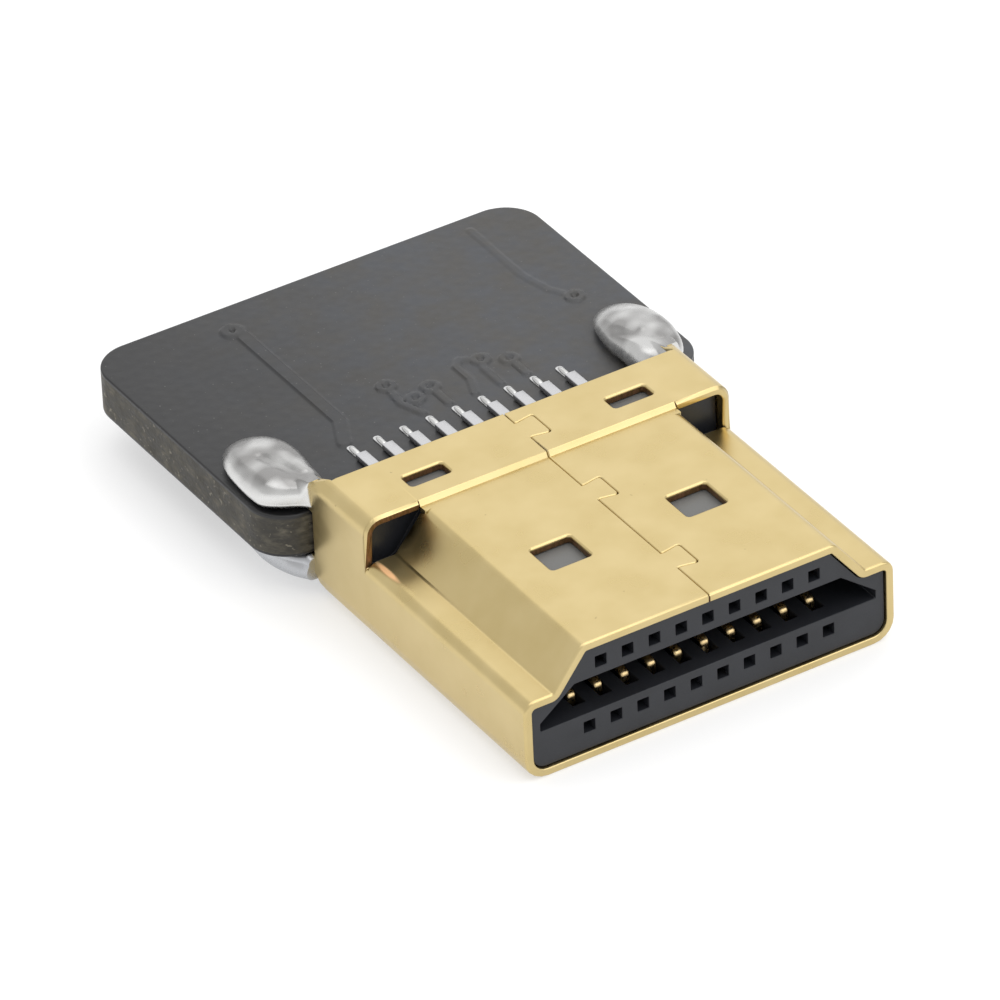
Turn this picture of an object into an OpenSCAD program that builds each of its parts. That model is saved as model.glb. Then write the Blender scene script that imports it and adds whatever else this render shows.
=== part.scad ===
// Straddle-mount video plug soldered over the front edge of a small circuit board.
// X runs across the plug, Y from its mouth to the board's rear edge, Z up from the flat underside
// of the shell. The origin lies on that underside, below the middle of the whole part.
// Heights are taken from the underside and distances back from the plane of the mouth.

/* [Shell front] */
// Outside width of the folded shell
shell_w = 13.9; // [13.6:0.05:14.2]
// Outside height of the shell's front section
shell_h = 4.45; // [4.4:0.05:4.7]
// Thickness of the sheet metal
sheet_t = 0.3; // [0.25:0.01:0.32]
// Length of the front section, up to the corner slits
front_l = 9.15; // [8.6:0.05:10]
// Width of the roof between the feet of its two slopes
roof_w = 9.5; // [9.3:0.05:9.8]
// Width of the ledge beside each slope
ledge_w = 1.09; // [1:0.01:1.2]
// Height of the ledges
ledge_z = 3.02; // [2.95:0.01:3.1]
// Outside radius of the shell's lower corners
corner_r = 0.8; // [0.6:0.05:0.9]
// Outside radius of the fold between wall and ledge
ledge_r = 0.45; // [0.38:0.01:0.55]
// Outside radius of the fold between roof and slope
roof_r = 0.4; // [0.38:0.01:0.6]
// Inside radius of the fold at the foot of a slope, on its open side
foot_r = 0.12; // [0.05:0.01:0.2]

/* [Shell band] */
// Step up from the front section's roof to the band's roof
band_rise = 0.18; // [0.14:0.01:0.28]
// Length of the band's roof
band_l = 2.6; // [2.4:0.05:3]
// Outside radius of the band's upper corners
band_r = 0.6; // [0.45:0.05:0.8]
// Width of the slit that frees the band's upper corners
slit_w = 0.35; // [0.3:0.01:0.45]
// Height at which the slit ends in the side wall
slit_z = 2.8; // [2.7:0.01:2.9]
// Length of the side cheeks behind the band's roof
cheek_l = 0.6; // [0.5:0.05:0.8]
// Width of each cheek's curled edge, from the outside of the shell
cheek_w = 0.45; // [0.4:0.01:0.55]
// Length of the soldered legs behind the cheeks
leg_l = 3.4; // [3:0.05:3.6]
// Height of a leg's outer edge over the board's middle, at the cheek
leg_root = 2; // [1.9:0.01:2.1]
// Height of a leg's outer edge over the board's middle, at its end
leg_tip = 1.35; // [1.25:0.01:1.5]
// Height of a lower leg's outer edge under the board's middle, at the cheek
leg_root_low = 1.55; // [1.45:0.01:1.65]
// Height of a lower leg's outer edge under the board's middle, at its end
leg_tip_low = 1.2; // [1.1:0.01:1.35]

/* [Seam and windows] */
// Width of the butt seam along the roof
seam_gap = 0.05; // [0.03:0.01:0.08]
// Width of a seam tab at its neck
tab_neck = 0.96; // [0.85:0.01:1.05]
// Width of a seam tab at its head
tab_head = 1.2; // [1.15:0.01:1.3]
// Reach of a seam tab past the seam
tab_reach = 0.74; // [0.65:0.01:0.85]
// Distance of the first seam tab from the mouth
tab_first = 2.32; // [2.1:0.01:2.5]
// Distance between the two seam tabs of the front section
tab_step = 4.63; // [4.4:0.01:4.7]
// Width of the latch windows
window_w = 1.5; // [1.3:0.05:1.7]
// Length of the latch windows in the front section
window_l = 1.35; // [1.2:0.05:1.5]
// Distance of a latch window from the seam, centre to centre
window_x = 2.56; // [2.45:0.01:2.7]
// Distance of the latch windows from the mouth
window_y = 4.67; // [4.5:0.01:4.8]
// Length of the windows in the band
band_window_l = 0.65; // [0.55:0.05:0.75]
// Distance of a band window from the seam, centre to centre
band_window_x = 3.85; // [3.7:0.01:4]
// Radius of the windows' corners
window_r = 0.12; // [0.08:0.01:0.2]

/* [Insulator] */
// Clearance between the insulator and the sheet round it
fit = 0.03; // [0.02:0.01:0.05]
// Distance of the insulator's face behind the mouth
face_inset = 0.12; // [0.1:0.01:0.2]
// Height of the plane halfway between the two contact rows
mid_z = 2.34; // [2.32:0.01:2.38]
// Width of the mating slot at its floor
slot_w = 12.6; // [12.5:0.01:12.7]
// Width of the mating slot at its roof
slot_roof_w = 10; // [9.9:0.01:10.1]
// Height of the mating slot
slot_h = 1.3; // [1.2:0.01:1.35]
// Height of the mating slot's upright ends
slot_cheek_h = 0.3; // [0.2:0.01:0.4]
// Depth of the mating slot behind the face
slot_d = 7; // [6.6:0.05:7.4]
// Thickness of the wall in front of the contact channels
front_wall = 0.6; // [0.5:0.01:0.65]
// Side of the square pocket in front of each contact
pocket_w = 0.43; // [0.4:0.01:0.48]
// Clearance at each side of a contact in its channel
channel_fit = 0.07; // [0.05:0.01:0.09]
// Room for the spring beam behind its channel, below its body
beam_room = 0.22; // [0.18:0.01:0.25]
// Distance of the insulator's rear face behind the band's roof
flange_out = 0.2; // [0.1:0.01:0.3]

/* [Contacts] */
// Distance between neighbouring contacts of a row
pitch = 1; // [0.98:0.01:1.01]
// Contacts in the lower row
lower_count = 10; // [9:1:10]
// Contacts in the upper row
upper_count = 9; // [8:1:9]
// Thickness of the contact strip
contact_t = 0.2; // [0.16:0.01:0.22]
// Distance of a contact's body from the plane between the rows
row_offset = 1.16; // [1.14:0.01:1.18]
// Width of the sprung beam
beam_w = 0.32; // [0.28:0.01:0.36]
// Width of a contact's body, tail and foot
tail_w = 0.4; // [0.38:0.01:0.46]
// Reach of a retention barb past the body's side
barb = 0.03; // [0.02:0.01:0.04]
// Height of the beam's crest over the slot's floor
crest_h = 0.26; // [0.2:0.01:0.32]
// Distance of the beam's front end from the mouth
nose_y = 1.12; // [1.05:0.01:1.2]
// Distance of the crest from the mouth
crest_y = 1.75; // [1.7:0.01:2]
// Distance of the beam's root from the mouth
root_y = 5.6; // [5.2:0.05:6]
// Length of the flat soldered foot
foot_l = 1.2; // [1.1:0.05:1.3]
// Length of the sloping tail between body and foot
tail_l = 0.75; // [0.7:0.05:0.85]

/* [Circuit board] */
// Width of the board
board_w = 16.8; // [16.5:0.05:17.2]
// Length of the board
board_l = 11.85; // [11.5:0.05:13]
// Thickness of the board
board_t = 1.6; // [1.55:0.01:1.62]
// Radius of the board's corners
board_r = 1.4; // [1.2:0.05:1.6]
// Distance between the shell's cheeks and the board
board_gap = 0.15; // [0.1:0.01:0.2]
// Thickness of the copper lands
land_t = 0.04; // [0.03:0.005:0.05]
// Width of the lands under the contacts
land_w = 0.26; // [0.24:0.01:0.32]
// Length of the lands under the contacts
land_l = 2.1; // [2:0.05:2.2]
// Height of the tracks under the solder mask
track_h = 0.03; // [0.02:0.005:0.04]
// Width of the supply track
supply_track_w = 0.5; // [0.4:0.05:0.6]
// Width of the signal tracks
track_w = 0.28; // [0.22:0.01:0.32]
// Bore of the plated vias
via_bore = 0.3; // [0.25:0.01:0.35]
// Outside diameter of a via's barrel in the board
via_barrel = 0.44; // [0.4:0.01:0.48]
// Outside diameter of a via's collar on the board's faces
via_collar = 0.8; // [0.7:0.01:0.9]

/* [Solder] */
// Reach of a leg's land inwards from the shell's side
blob_reach = 1.2; // [1.1:0.01:1.3]
// Distance of a leg's land from the board's side
blob_edge = 0.17; // [0.16:0.01:0.3]
// Half length of the solder blob over a leg
blob_b = 2.15; // [2:0.01:2.2]
// Height of the upper blobs over their lands
blob_h = 1.12; // [1:0.01:1.2]
// Height of the lower blobs over their lands
blob_h_low = 0.95; // [0.8:0.01:1]
// Width of the solder behind a contact's foot
fillet_w = 0.24; // [0.22:0.01:0.26]
// Length of the rounded heap that this solder is cut from
fillet_l = 1.2; // [1.1:0.05:1.3]
// Height of this heap over its land
fillet_h = 0.11; // [0.09:0.01:0.12]

/* [Hidden] */
$fn = 24;
fold_steps = 5;
lap = 0.05;
step_start = 0.1;
step_r = 0.06;
tab_r = 0.12;
tab_spot = 0.56;
band_window_spot = 0.43;
flange_inset = 0.3;
channel_end = 1;
passage_fit = 0.02;
barb_l = 0.3;
barb_spots = [0.8, 1.6];
taper_l = 0.3;
body_out = 0.25;
bend_r = 0.13;
nose_drop = 0.1;
land_edge = 0.12;
land_out = 0.75;
solder_out = 0.7;
heap_points = 28;
heap_rings = 7;
heap_round = 0.75;
heap_skew = 0.05;
heap_bulge = 0.03;
heap_lean = 0.25;
band_y = front_l + slit_w;
band_end = band_y + band_l;
cheek_end = band_end + cheek_l;
leg_end = cheek_end + leg_l;
band_h = shell_h + band_rise;
board_y = cheek_end + board_gap;
part_l = board_y + board_l;
mouth_y = -part_l / 2;
land_top = mid_z + board_t / 2 + land_t;
board_top = land_top - land_t;
flange_y = band_y + flange_inset;
flange_end = band_end + flange_out;
face_y = face_inset;
channel_y = face_y + front_wall;
slot_end = face_y + slot_d;
slot_floor = mid_z - slot_h / 2;
body_z = mid_z - row_offset;
crest_z = slot_floor + crest_h - contact_t / 2;
foot_z = 2 * mid_z - land_top - contact_t / 2;
tail_y = flange_end + body_out;
foot_y = tail_y + tail_l;
foot_end = foot_y + foot_l;
land_y = foot_end + land_out - land_l;
track_start = foot_end + land_out - board_y + track_w;
blob_in = shell_w / 2 - blob_reach;
blob_out = board_w / 2 - blob_edge;
blob_x = (blob_in + blob_out) / 2;
blob_a = (blob_out - blob_in) / 2;
blob_y = board_y + land_edge + blob_b;
joggle_w = roof_w + roof_r / 2;
tab_ys = [tab_first, tab_first + tab_step, band_y + band_l * tab_spot];
// Via places, across and back from the board's front edge
vias = [[-3.6, 10.4], [-1.17, 4.7], [-0.75, 3.55], [0, 3.85], [2.2, 4.25], [3, 3.75], [6.75, 5.65]];
// Middle lines of the signal tracks, from a via to a contact or out under the mask
signal_tracks = [
    [vias[1], [-1.3, 3.55], [-pitch, track_start]],
    [vias[3], [0, track_start]],
    [[pitch, track_start], [1.3, 3.45], [1.3, 4.35], [1.6, 4.65], vias[4]],
    [vias[4], [2, 3.75], [2 * pitch, track_start]],
    [vias[5], [3 * pitch, track_start]],
    [vias[6], [6.25, 6.55], [6, 7.75], [6.05, 11.05]],
];
supply_track = [vias[0], [-3.45, 10.05], [-3.45, 3.85], [-4 * pitch, track_start]];

// Direction of a vector, with unit length
function unit(v) = v / norm(v);

// Turn from one vector to another, positive when it is anticlockwise
function turn(u, v) = u[0] * v[1] - u[1] * v[0];

// Arc of radius r that rounds the corner b between its neighbours a and c
function fold(a, b, c, r) =
    let (
        u = unit(a - b),
        v = unit(c - b),
        half = acos(max(-1, min(1, u * v))) / 2,
        centre = b + unit(u + v) * r / sin(half),
        from = b + u * r / tan(half) - centre,
        to = b + v * r / tan(half) - centre,
        sweep = atan2(turn(from, to), from * to)
    )
    [for (i = [0:fold_steps])
        let (s = sweep * i / fold_steps)
        centre + [from[0] * cos(s) - from[1] * sin(s), from[0] * sin(s) + from[1] * cos(s)]];

// Outline moved inwards by d, for corners listed anticlockwise
function inset(points, d) =
    let (n = len(points))
    [for (i = [0:n - 1])
        let (
            e = unit(points[i] - points[(i + n - 1) % n]),
            f = unit(points[(i + 1) % n] - points[i]),
            p = [-e[1], e[0]],
            q = [-f[1], f[0]]
        )
        points[i] + (p + q) * d / (1 + p * q)];

// Section d inside the sheet's outer face: outer radii shrink on bends out and grow on bends in
function section(points, radii, d) =
    let (n = len(points), moved = inset(points, d))
    [for (i = [0:n - 1])
        let (
            a = moved[(i + n - 1) % n],
            b = moved[i],
            c = moved[(i + 1) % n],
            r = turn(b - a, c - b) > 0 ? radii[i] - d : radii[i] + d
        )
        each fold(a, b, c, r)];

// Open line with its inner corners rounded
function bent(points, r) =
    let (n = len(points))
    concat(
        [points[0]],
        [for (i = [1:n - 2]) each fold(points[i - 1], points[i], points[i + 1], r)],
        [points[n - 1]]
    );

// Line moved sideways by d
function beside(points, d) =
    let (n = len(points))
    [for (i = [0:n - 1])
        let (
            e = unit(points[max(i, 1)] - points[max(i, 1) - 1]),
            f = unit(points[min(i, n - 2) + 1] - points[min(i, n - 2)]),
            p = [-e[1], e[0]],
            q = [-f[1], f[0]]
        )
        points[i] + (p + q) * d / (1 + p * q)];

// Outline of a strip of thickness t along a line
function strip(points, t) =
    let (left = beside(points, t / 2), right = beside(points, -t / 2), n = len(points))
    concat(left, [for (i = [n - 1:-1:0]) right[i]]);

// Outside corners of the front section, anticlockwise from the lower left
front_corners = [
    [-shell_w / 2, 0],
    [shell_w / 2, 0],
    [shell_w / 2, ledge_z],
    [shell_w / 2 - ledge_w, ledge_z],
    [roof_w / 2, shell_h],
    [-roof_w / 2, shell_h],
    [-shell_w / 2 + ledge_w, ledge_z],
    [-shell_w / 2, ledge_z],
];
front_radii = [corner_r, corner_r, ledge_r, foot_r, roof_r, roof_r, foot_r, ledge_r];

// Outside corners of the band, anticlockwise from the lower left
band_corners = [
    [-shell_w / 2, 0],
    [shell_w / 2, 0],
    [shell_w / 2, band_h],
    [-shell_w / 2, band_h],
];
band_radii = [corner_r, corner_r, band_r, band_r];

// Places of the contacts across the plug
function row_x(i, count) = (i - (count + 1) / 2) * pitch;

// Pushes a section drawn in X and Z from y0 to y1 behind the mouth
module along_y(y0, y1)
    translate([0, mouth_y + y1, 0])
        rotate([90, 0, 0])
            linear_extrude(height = y1 - y0) children();

// Pushes an outline drawn in Y and Z across the part, w wide about the middle
module across(w)
    translate([-w / 2, mouth_y, 0])
        rotate([90, 0, 90])
            linear_extrude(height = w) children();

// Pushes a plan drawn in X and Y from z0 up to z1
module upright(z0, z1)
    translate([0, mouth_y, z0]) linear_extrude(height = z1 - z0) children();

// Copies its children to the other side of the plane between the rows
module upper_side()
    translate([0, 0, 2 * mid_z]) mirror([0, 0, 1]) children();

// Repeats its children on the left and the right
module both_sides() {
    children();
    mirror([1, 0, 0]) children();
}

// Rectangle with rounded corners about the origin
module rounded_rect(w, l, r) {
    square([w - 2 * r, l], center = true);
    square([w, l - 2 * r], center = true);
    for (x = [-1, 1], y = [-1, 1])
        translate([x * (w / 2 - r), y * (l / 2 - r)]) circle(r);
}

// Line of the roof's outer face between the slits, moved down by d
function roof_line(d) =
    bent([
        [front_l - (d > 0 ? 0 : lap), shell_h - d],
        [front_l + step_start, shell_h - d],
        [front_l + step_start + band_rise, band_h - d],
        [band_y + lap, band_h - d],
    ], step_r);

// Solid between the slits, as far as the outer face (d = 0) or the inner one (d = sheet_t)
module slit_zone(w, d)
    across(w) let (line = roof_line(d))
        polygon(concat([[band_y + lap, mid_z], [line[0][0], mid_z]], line));

// Side view of everything behind the slits: band, cheeks and the legs that straddle the board
module rear_profile() {
    leg_gap = board_t / 2 + land_t;
    polygon([
        [band_y, 0],
        [band_end, 0],
        [cheek_end, mid_z - leg_root_low],
        [leg_end, mid_z - leg_tip_low],
        [leg_end, mid_z - leg_gap],
        [cheek_end, mid_z - leg_gap],
        [cheek_end, mid_z + leg_gap],
        [leg_end, mid_z + leg_gap],
        [leg_end, mid_z + leg_tip],
        [cheek_end, mid_z + leg_root],
        [band_end, band_h],
        [band_y, band_h],
    ]);
}

// Band, cheeks and legs as folded from the sheet, from the slits back
module rear_walls() {
    difference() {
        intersection() {
            along_y(band_y, leg_end) polygon(section(band_corners, band_radii, 0));
            across(shell_w) rear_profile();
        }
        along_y(band_y - lap, leg_end + lap) polygon(section(band_corners, band_radii, sheet_t));
        upright(-lap, band_h + lap)
            translate([cheek_w - shell_w / 2, band_end]) square([shell_w - 2 * cheek_w, leg_end]);
    }
}

// Front section and the part between the slits, hollowed as far as the band
module front_walls() {
    difference() {
        union() {
            along_y(0, front_l) polygon(section(front_corners, front_radii, 0));
            along_y(front_l - lap, band_y + lap) intersection() {
                polygon(section(front_corners, front_radii, 0));
                translate([-shell_w / 2, 0]) square([shell_w, slit_z]);
            }
            slit_zone(joggle_w, 0);
        }
        along_y(-lap, band_end) polygon(section(front_corners, front_radii, sheet_t));
        slit_zone(shell_w - 2 * sheet_t, sheet_t);
    }
}

// Plan of one seam tab grown by d, which stands to the right of the seam and starts at x
module tab_plan(d, x) {
    neck = tab_neck / 2 + d;
    head = tab_head / 2 + d;
    reach = tab_reach + d;
    polygon([
        [x, -neck],
        each fold([x, -neck], [tab_r, -neck], [reach, -head], tab_r),
        each fold([tab_r, -neck], [reach, -head], [reach, head], tab_r),
        each fold([reach, -head], [reach, head], [tab_r, neck], tab_r),
        each fold([reach, head], [tab_r, neck], [x, neck], tab_r),
        [x, neck],
    ]);
}

// Cut of the butt seam, which runs round each tab
module seam_cut() {
    upright(shell_h - 2 * sheet_t, band_h + lap) {
        difference() {
            union() {
                translate([-seam_gap / 2, -lap]) square([seam_gap, band_end + 2 * lap]);
                for (y = tab_ys) translate([0, y]) tab_plan(seam_gap / 2, -seam_gap / 2);
            }
            for (y = tab_ys) translate([0, y]) tab_plan(-seam_gap / 2, -seam_gap);
        }
    }
}

// Latch windows through roof and floor, and the smaller ones in the band
module window_cuts() {
    both_sides() {
        upright(-lap, band_h + lap)
            translate([window_x, window_y]) rounded_rect(window_w, window_l, window_r);
        upright(mid_z, band_h + lap)
            translate([band_window_x, band_y + band_l * band_window_spot])
                rounded_rect(window_w, band_window_l, window_r);
    }
}

// Gold-plated shell, folded from one sheet and closed by the seam along its roof
module shell() color([0.86, 0.72, 0.42])
    difference() {
        union() {
            front_walls();
            rear_walls();
        }
        seam_cut();
        window_cuts();
    }

// Mating slot as seen from the mouth
module slot_profile() {
    top = slot_floor + slot_h;
    polygon([
        [-slot_w / 2, slot_floor],
        [slot_w / 2, slot_floor],
        [slot_w / 2, slot_floor + slot_cheek_h],
        [slot_roof_w / 2, top],
        [-slot_roof_w / 2, top],
        [-slot_w / 2, slot_floor + slot_cheek_h],
    ]);
}

// Room for one lower contact: pocket, spring channel, and the passage that grips its body
module contact_room(x) {
    low = body_z - contact_t / 2;
    passage_w = tail_w + 2 * barb + 2 * channel_fit;
    channel_w = beam_w + 2 * channel_fit;
    translate([x, mouth_y, 0]) {
        translate([-pocket_w / 2, 0, body_z - pocket_w / 2])
            cube([pocket_w, channel_y, pocket_w]);
        translate([-channel_w / 2, channel_y, low - beam_room])
            cube([channel_w, slot_end - channel_y, mid_z - low + beam_room]);
        translate([-passage_w / 2, slot_end - channel_end, low])
            cube([passage_w, flange_end - slot_end + 2 * channel_end, contact_t + passage_fit]);
    }
}

// Black moulding that fills the shell, with the mating slot and one room for each contact
module insulator() color([0.15, 0.16, 0.19])
    difference() {
        union() {
            along_y(face_y, flange_y + flange_inset)
                polygon(section(front_corners, front_radii, sheet_t + fit));
            along_y(flange_y, flange_end)
                polygon(section(band_corners, band_radii, sheet_t + fit));
        }
        along_y(face_y - lap, slot_end) slot_profile();
        for (i = [1:lower_count]) contact_room(row_x(i, lower_count));
        upper_side()
            for (i = [1:upper_count]) contact_room(row_x(i, upper_count));
    }

// Side view of a lower contact, from its soldered foot to the end of its nose
module contact_side() {
    line = [
        [foot_end, foot_z],
        [foot_y, foot_z],
        [tail_y, body_z],
        [root_y, body_z],
        [crest_y, crest_z],
        [nose_y + contact_t / 2, crest_z - nose_drop],
        [nose_y + contact_t / 2, body_z],
    ];
    polygon(strip(bent(line, bend_r), contact_t));
}

// Plan of a contact: slim beam, barbed body, and a tail and foot of the body's width
module contact_plan() {
    half = tail_w / 2;
    right = [
        [beam_w / 2, 0],
        [beam_w / 2, slot_end - taper_l / 2],
        [half, slot_end + taper_l / 2],
        for (spot = barb_spots) each [
            [half, slot_end + spot],
            [half + barb, slot_end + spot + barb_l],
            [half, slot_end + spot + barb_l],
        ],
        [half, leg_end],
    ];
    left = [for (i = [len(right) - 1:-1:0]) [-right[i][0], right[i][1]]];
    polygon(concat(right, left));
}

// One stamped contact of the lower row
module contact(x) color([0.85, 0.72, 0.45])
    translate([x, 0, 0]) intersection() {
        across(tail_w + 1) contact_side();
        upright(0, 2 * mid_z) contact_plan();
    }

// Track of width w along its middle line, on the upper face
module track(points, w) {
    upright(mid_z, board_top + track_h) translate([0, board_y]) {
        for (p = points) translate(p) circle(w / 2);
        for (i = [1:len(points) - 1]) {
            step = points[i] - points[i - 1];
            translate(points[i - 1])
                rotate(atan2(step[1], step[0]))
                    translate([0, -w / 2]) square([norm(step), w]);
        }
    }
}

// Plan of the board
module board_plan()
    translate([0, board_y + board_l / 2]) rounded_rect(board_w, board_l, board_r);

// Laminate under its black solder mask, drilled for the vias
module circuit_board() color([0.17, 0.17, 0.18])
    difference() {
        union() {
            upright(board_top - board_t, board_top) board_plan();
            track(supply_track, supply_track_w);
            for (line = signal_tracks) track(line, track_w);
        }
        for (p = vias) {
            upright(0, land_top) translate([p[0], board_y + p[1]]) circle(d = via_barrel);
            upright(board_top, land_top) translate([p[0], board_y + p[1]]) circle(d = via_collar);
        }
    }

// Reach of a solder heap's side at angle t, as a share of its half axis, at a lift of 0 to 90 degrees
function heap_reach(t, lift) =
    pow(cos(lift), heap_round) * (1 + heap_skew * sin(2 * t + 30) + heap_bulge * cos(3 * t));

// Ring of a solder heap with half axes a and b, at a lift of 0 to 90 degrees
function heap_ring(a, b, lift) =
    [for (i = [0:heap_points - 1])
        let (t = 360 * i / heap_points)
        heap_reach(t, lift) * [a * cos(t), b * sin(t)]];

// Lands of one face: a row under the contacts and one under each leg of the shell
module lands(count) {
    upright(board_top, land_top) {
        for (i = [1:count])
            translate([row_x(i, count) - land_w / 2, land_y]) square([land_w, land_l]);
        both_sides()
            translate([blob_x, blob_y]) polygon(heap_ring(blob_a, blob_b, 0));
    }
}

// Copper lands of the upper face
module upper_lands() color([0.8, 0.8, 0.8]) lands(upper_count);

// Copper lands of the underside, below the contacts and legs
module lower_lands() color([0.8, 0.8, 0.8]) upper_side() lands(lower_count);

// Plated barrel of each via, with a collar on both faces
module via_barrels() color([0.6, 0.5, 0.3])
    for (p = vias)
        translate([p[0], mouth_y + board_y + p[1], mid_z])
            rotate_extrude()
                polygon([
                    [via_bore / 2, -board_t / 2 - land_t],
                    [via_collar / 2, -board_t / 2 - land_t],
                    [via_collar / 2, -board_t / 2],
                    [via_barrel / 2, -board_t / 2],
                    [via_barrel / 2, board_t / 2],
                    [via_collar / 2, board_t / 2],
                    [via_collar / 2, board_t / 2 + land_t],
                    [via_bore / 2, board_t / 2 + land_t],
                ]);

// Rounded heap of solder with half axes a and b, and height h, whose top leans towards the shell
module solder_heap(a, b, h) {
    n = heap_points;
    points = [
        for (k = [0:heap_rings - 1])
            let (lift = 90 * k / heap_rings)
            for (p = heap_ring(a, b, lift))
                [p[0], p[1] - heap_lean * b * sin(lift), h * pow(sin(lift), heap_round)],
        [0, -heap_lean * b, h],
    ];
    walls = [
        for (k = [0:heap_rings - 2], i = [0:n - 1])
            let (j = (i + 1) % n)
            each [[k * n + i, (k + 1) * n + j, k * n + j], [k * n + i, (k + 1) * n + i, (k + 1) * n + j]],
    ];
    top = [for (i = [0:n - 1]) [len(points) - n - 1 + i, len(points) - 1, len(points) - n - 1 + (i + 1) % n]];
    polyhedron(points, concat(walls, top, [[for (i = [0:n - 1]) i]]));
}

// Solder over one leg, shaped round it: side is -1 or 1, level is 1 above the board and -1 below
module leg_solder(side, level, h) color([0.82, 0.82, 0.84])
    difference() {
        translate([side * blob_x, mouth_y + blob_y, mid_z + level * (board_t / 2 + land_t)])
            mirror([side < 0 ? 1 : 0, 0, 0])
                mirror([0, 0, level < 0 ? 1 : 0]) solder_heap(blob_a, blob_b, h);
        rear_walls();
    }

// Solder on every land behind its foot, for the upper row or a row of the same kind below
module lead_solder(count) color([0.82, 0.82, 0.84]) {
    across_r = (pow(fillet_w / 2, 2) + pow(fillet_h, 2)) / (2 * fillet_h);
    along_r = (pow(fillet_l / 2, 2) + pow(fillet_h, 2)) / (2 * fillet_h);
    middle_y = mouth_y + foot_end + solder_out - fillet_l / 2;
    for (i = [1:count])
        difference() {
            translate([row_x(i, count), middle_y, land_top])
                intersection() {
                    translate([0, 0, fillet_h - across_r])
                        rotate([90, 0, 0]) cylinder(r = across_r, h = 2 * fillet_l, center = true, $fn = 64);
                    translate([0, 0, fillet_h - along_r])
                        rotate([0, 90, 0]) cylinder(r = along_r, h = 2 * fillet_w, center = true, $fn = 64);
                    translate([-fillet_w, -fillet_l, 0]) cube([2 * fillet_w, 2 * fillet_l, fillet_h + 1]);
                }
            upper_side() contact(row_x(i, count));
        }
}

shell();
insulator();
for (i = [1:upper_count])
    upper_side() contact(row_x(i, upper_count));
for (i = [1:lower_count])
    contact(row_x(i, lower_count));
circuit_board();
upper_lands();
lower_lands();
via_barrels();
leg_solder(-1, 1, blob_h);  // upper_left_solder
leg_solder(1, 1, blob_h);  // upper_right_solder
leg_solder(-1, -1, blob_h_low);  // lower_left_solder
leg_solder(1, -1, blob_h_low);  // lower_right_solder
lead_solder(upper_count);  // upper_lead_solder
upper_side() lead_solder(lower_count);  // lower_lead_solder
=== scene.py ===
"""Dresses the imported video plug: folded gold shell, moulding, contacts, solder and circuit board.

Lengths are in metres, unless a docstring says millimetres, in the frame of the CAD part: X across the
plug, Y from its mouth to the board's rear edge, and Z up from the flat underside of the shell.
"""

import logging
import math
from collections.abc import Callable
from dataclasses import dataclass
from enum import Enum

import bmesh
import bpy
import numpy as np
from mathutils import Euler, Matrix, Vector


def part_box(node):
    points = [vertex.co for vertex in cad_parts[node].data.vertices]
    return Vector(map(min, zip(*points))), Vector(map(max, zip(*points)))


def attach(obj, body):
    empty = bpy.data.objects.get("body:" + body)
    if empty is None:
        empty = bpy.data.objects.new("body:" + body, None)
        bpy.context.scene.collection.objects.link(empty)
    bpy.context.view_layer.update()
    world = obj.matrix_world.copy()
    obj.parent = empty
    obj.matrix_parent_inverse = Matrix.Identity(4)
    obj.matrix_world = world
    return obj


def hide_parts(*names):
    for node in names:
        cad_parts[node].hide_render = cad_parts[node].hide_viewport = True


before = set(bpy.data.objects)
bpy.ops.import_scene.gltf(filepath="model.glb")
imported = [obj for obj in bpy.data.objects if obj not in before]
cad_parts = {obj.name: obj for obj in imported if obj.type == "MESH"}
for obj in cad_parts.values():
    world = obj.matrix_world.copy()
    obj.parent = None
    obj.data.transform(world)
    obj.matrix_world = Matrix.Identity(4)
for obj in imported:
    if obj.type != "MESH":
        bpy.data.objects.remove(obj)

log = logging.getLogger("scene")

Colour = tuple[float, float, float]
Place = tuple[float, float, float]
Factors = tuple[float, float, float]
Point = tuple[float, float]
Range = tuple[float, float]
Relief = tuple[float, float]  # depth in metres, and the share of it that is used

MM = 0.001
NEAR = 0.01 * MM  # tolerance for what lies in a plane of the plug
TINY = 0.001 * MM  # tolerance for what lies at the same place
CUT_REACH = 0.0001 * MM  # tolerance of a cut through a mesh
SHARP = math.radians(38)  # an edge that turns by more than this is a sharp one
FLAT = math.radians(0.5)  # faces that turn by less than this are one face
MOUTH_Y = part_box("shell")[0].y  # where the plug's mouth lies along Y
MOST = (0.3, 0.7)  # range in which most of a noise lies


class Slot(Enum):
    """Material slots of the record."""

    GOLD = "gold_plate"
    CONTACT = "contact_plate"
    MOULDING = "moulding"
    MASK = "solder_mask"
    COPPER = "tinned_copper"
    SOLDER = "solder"


# Finishes


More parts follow.
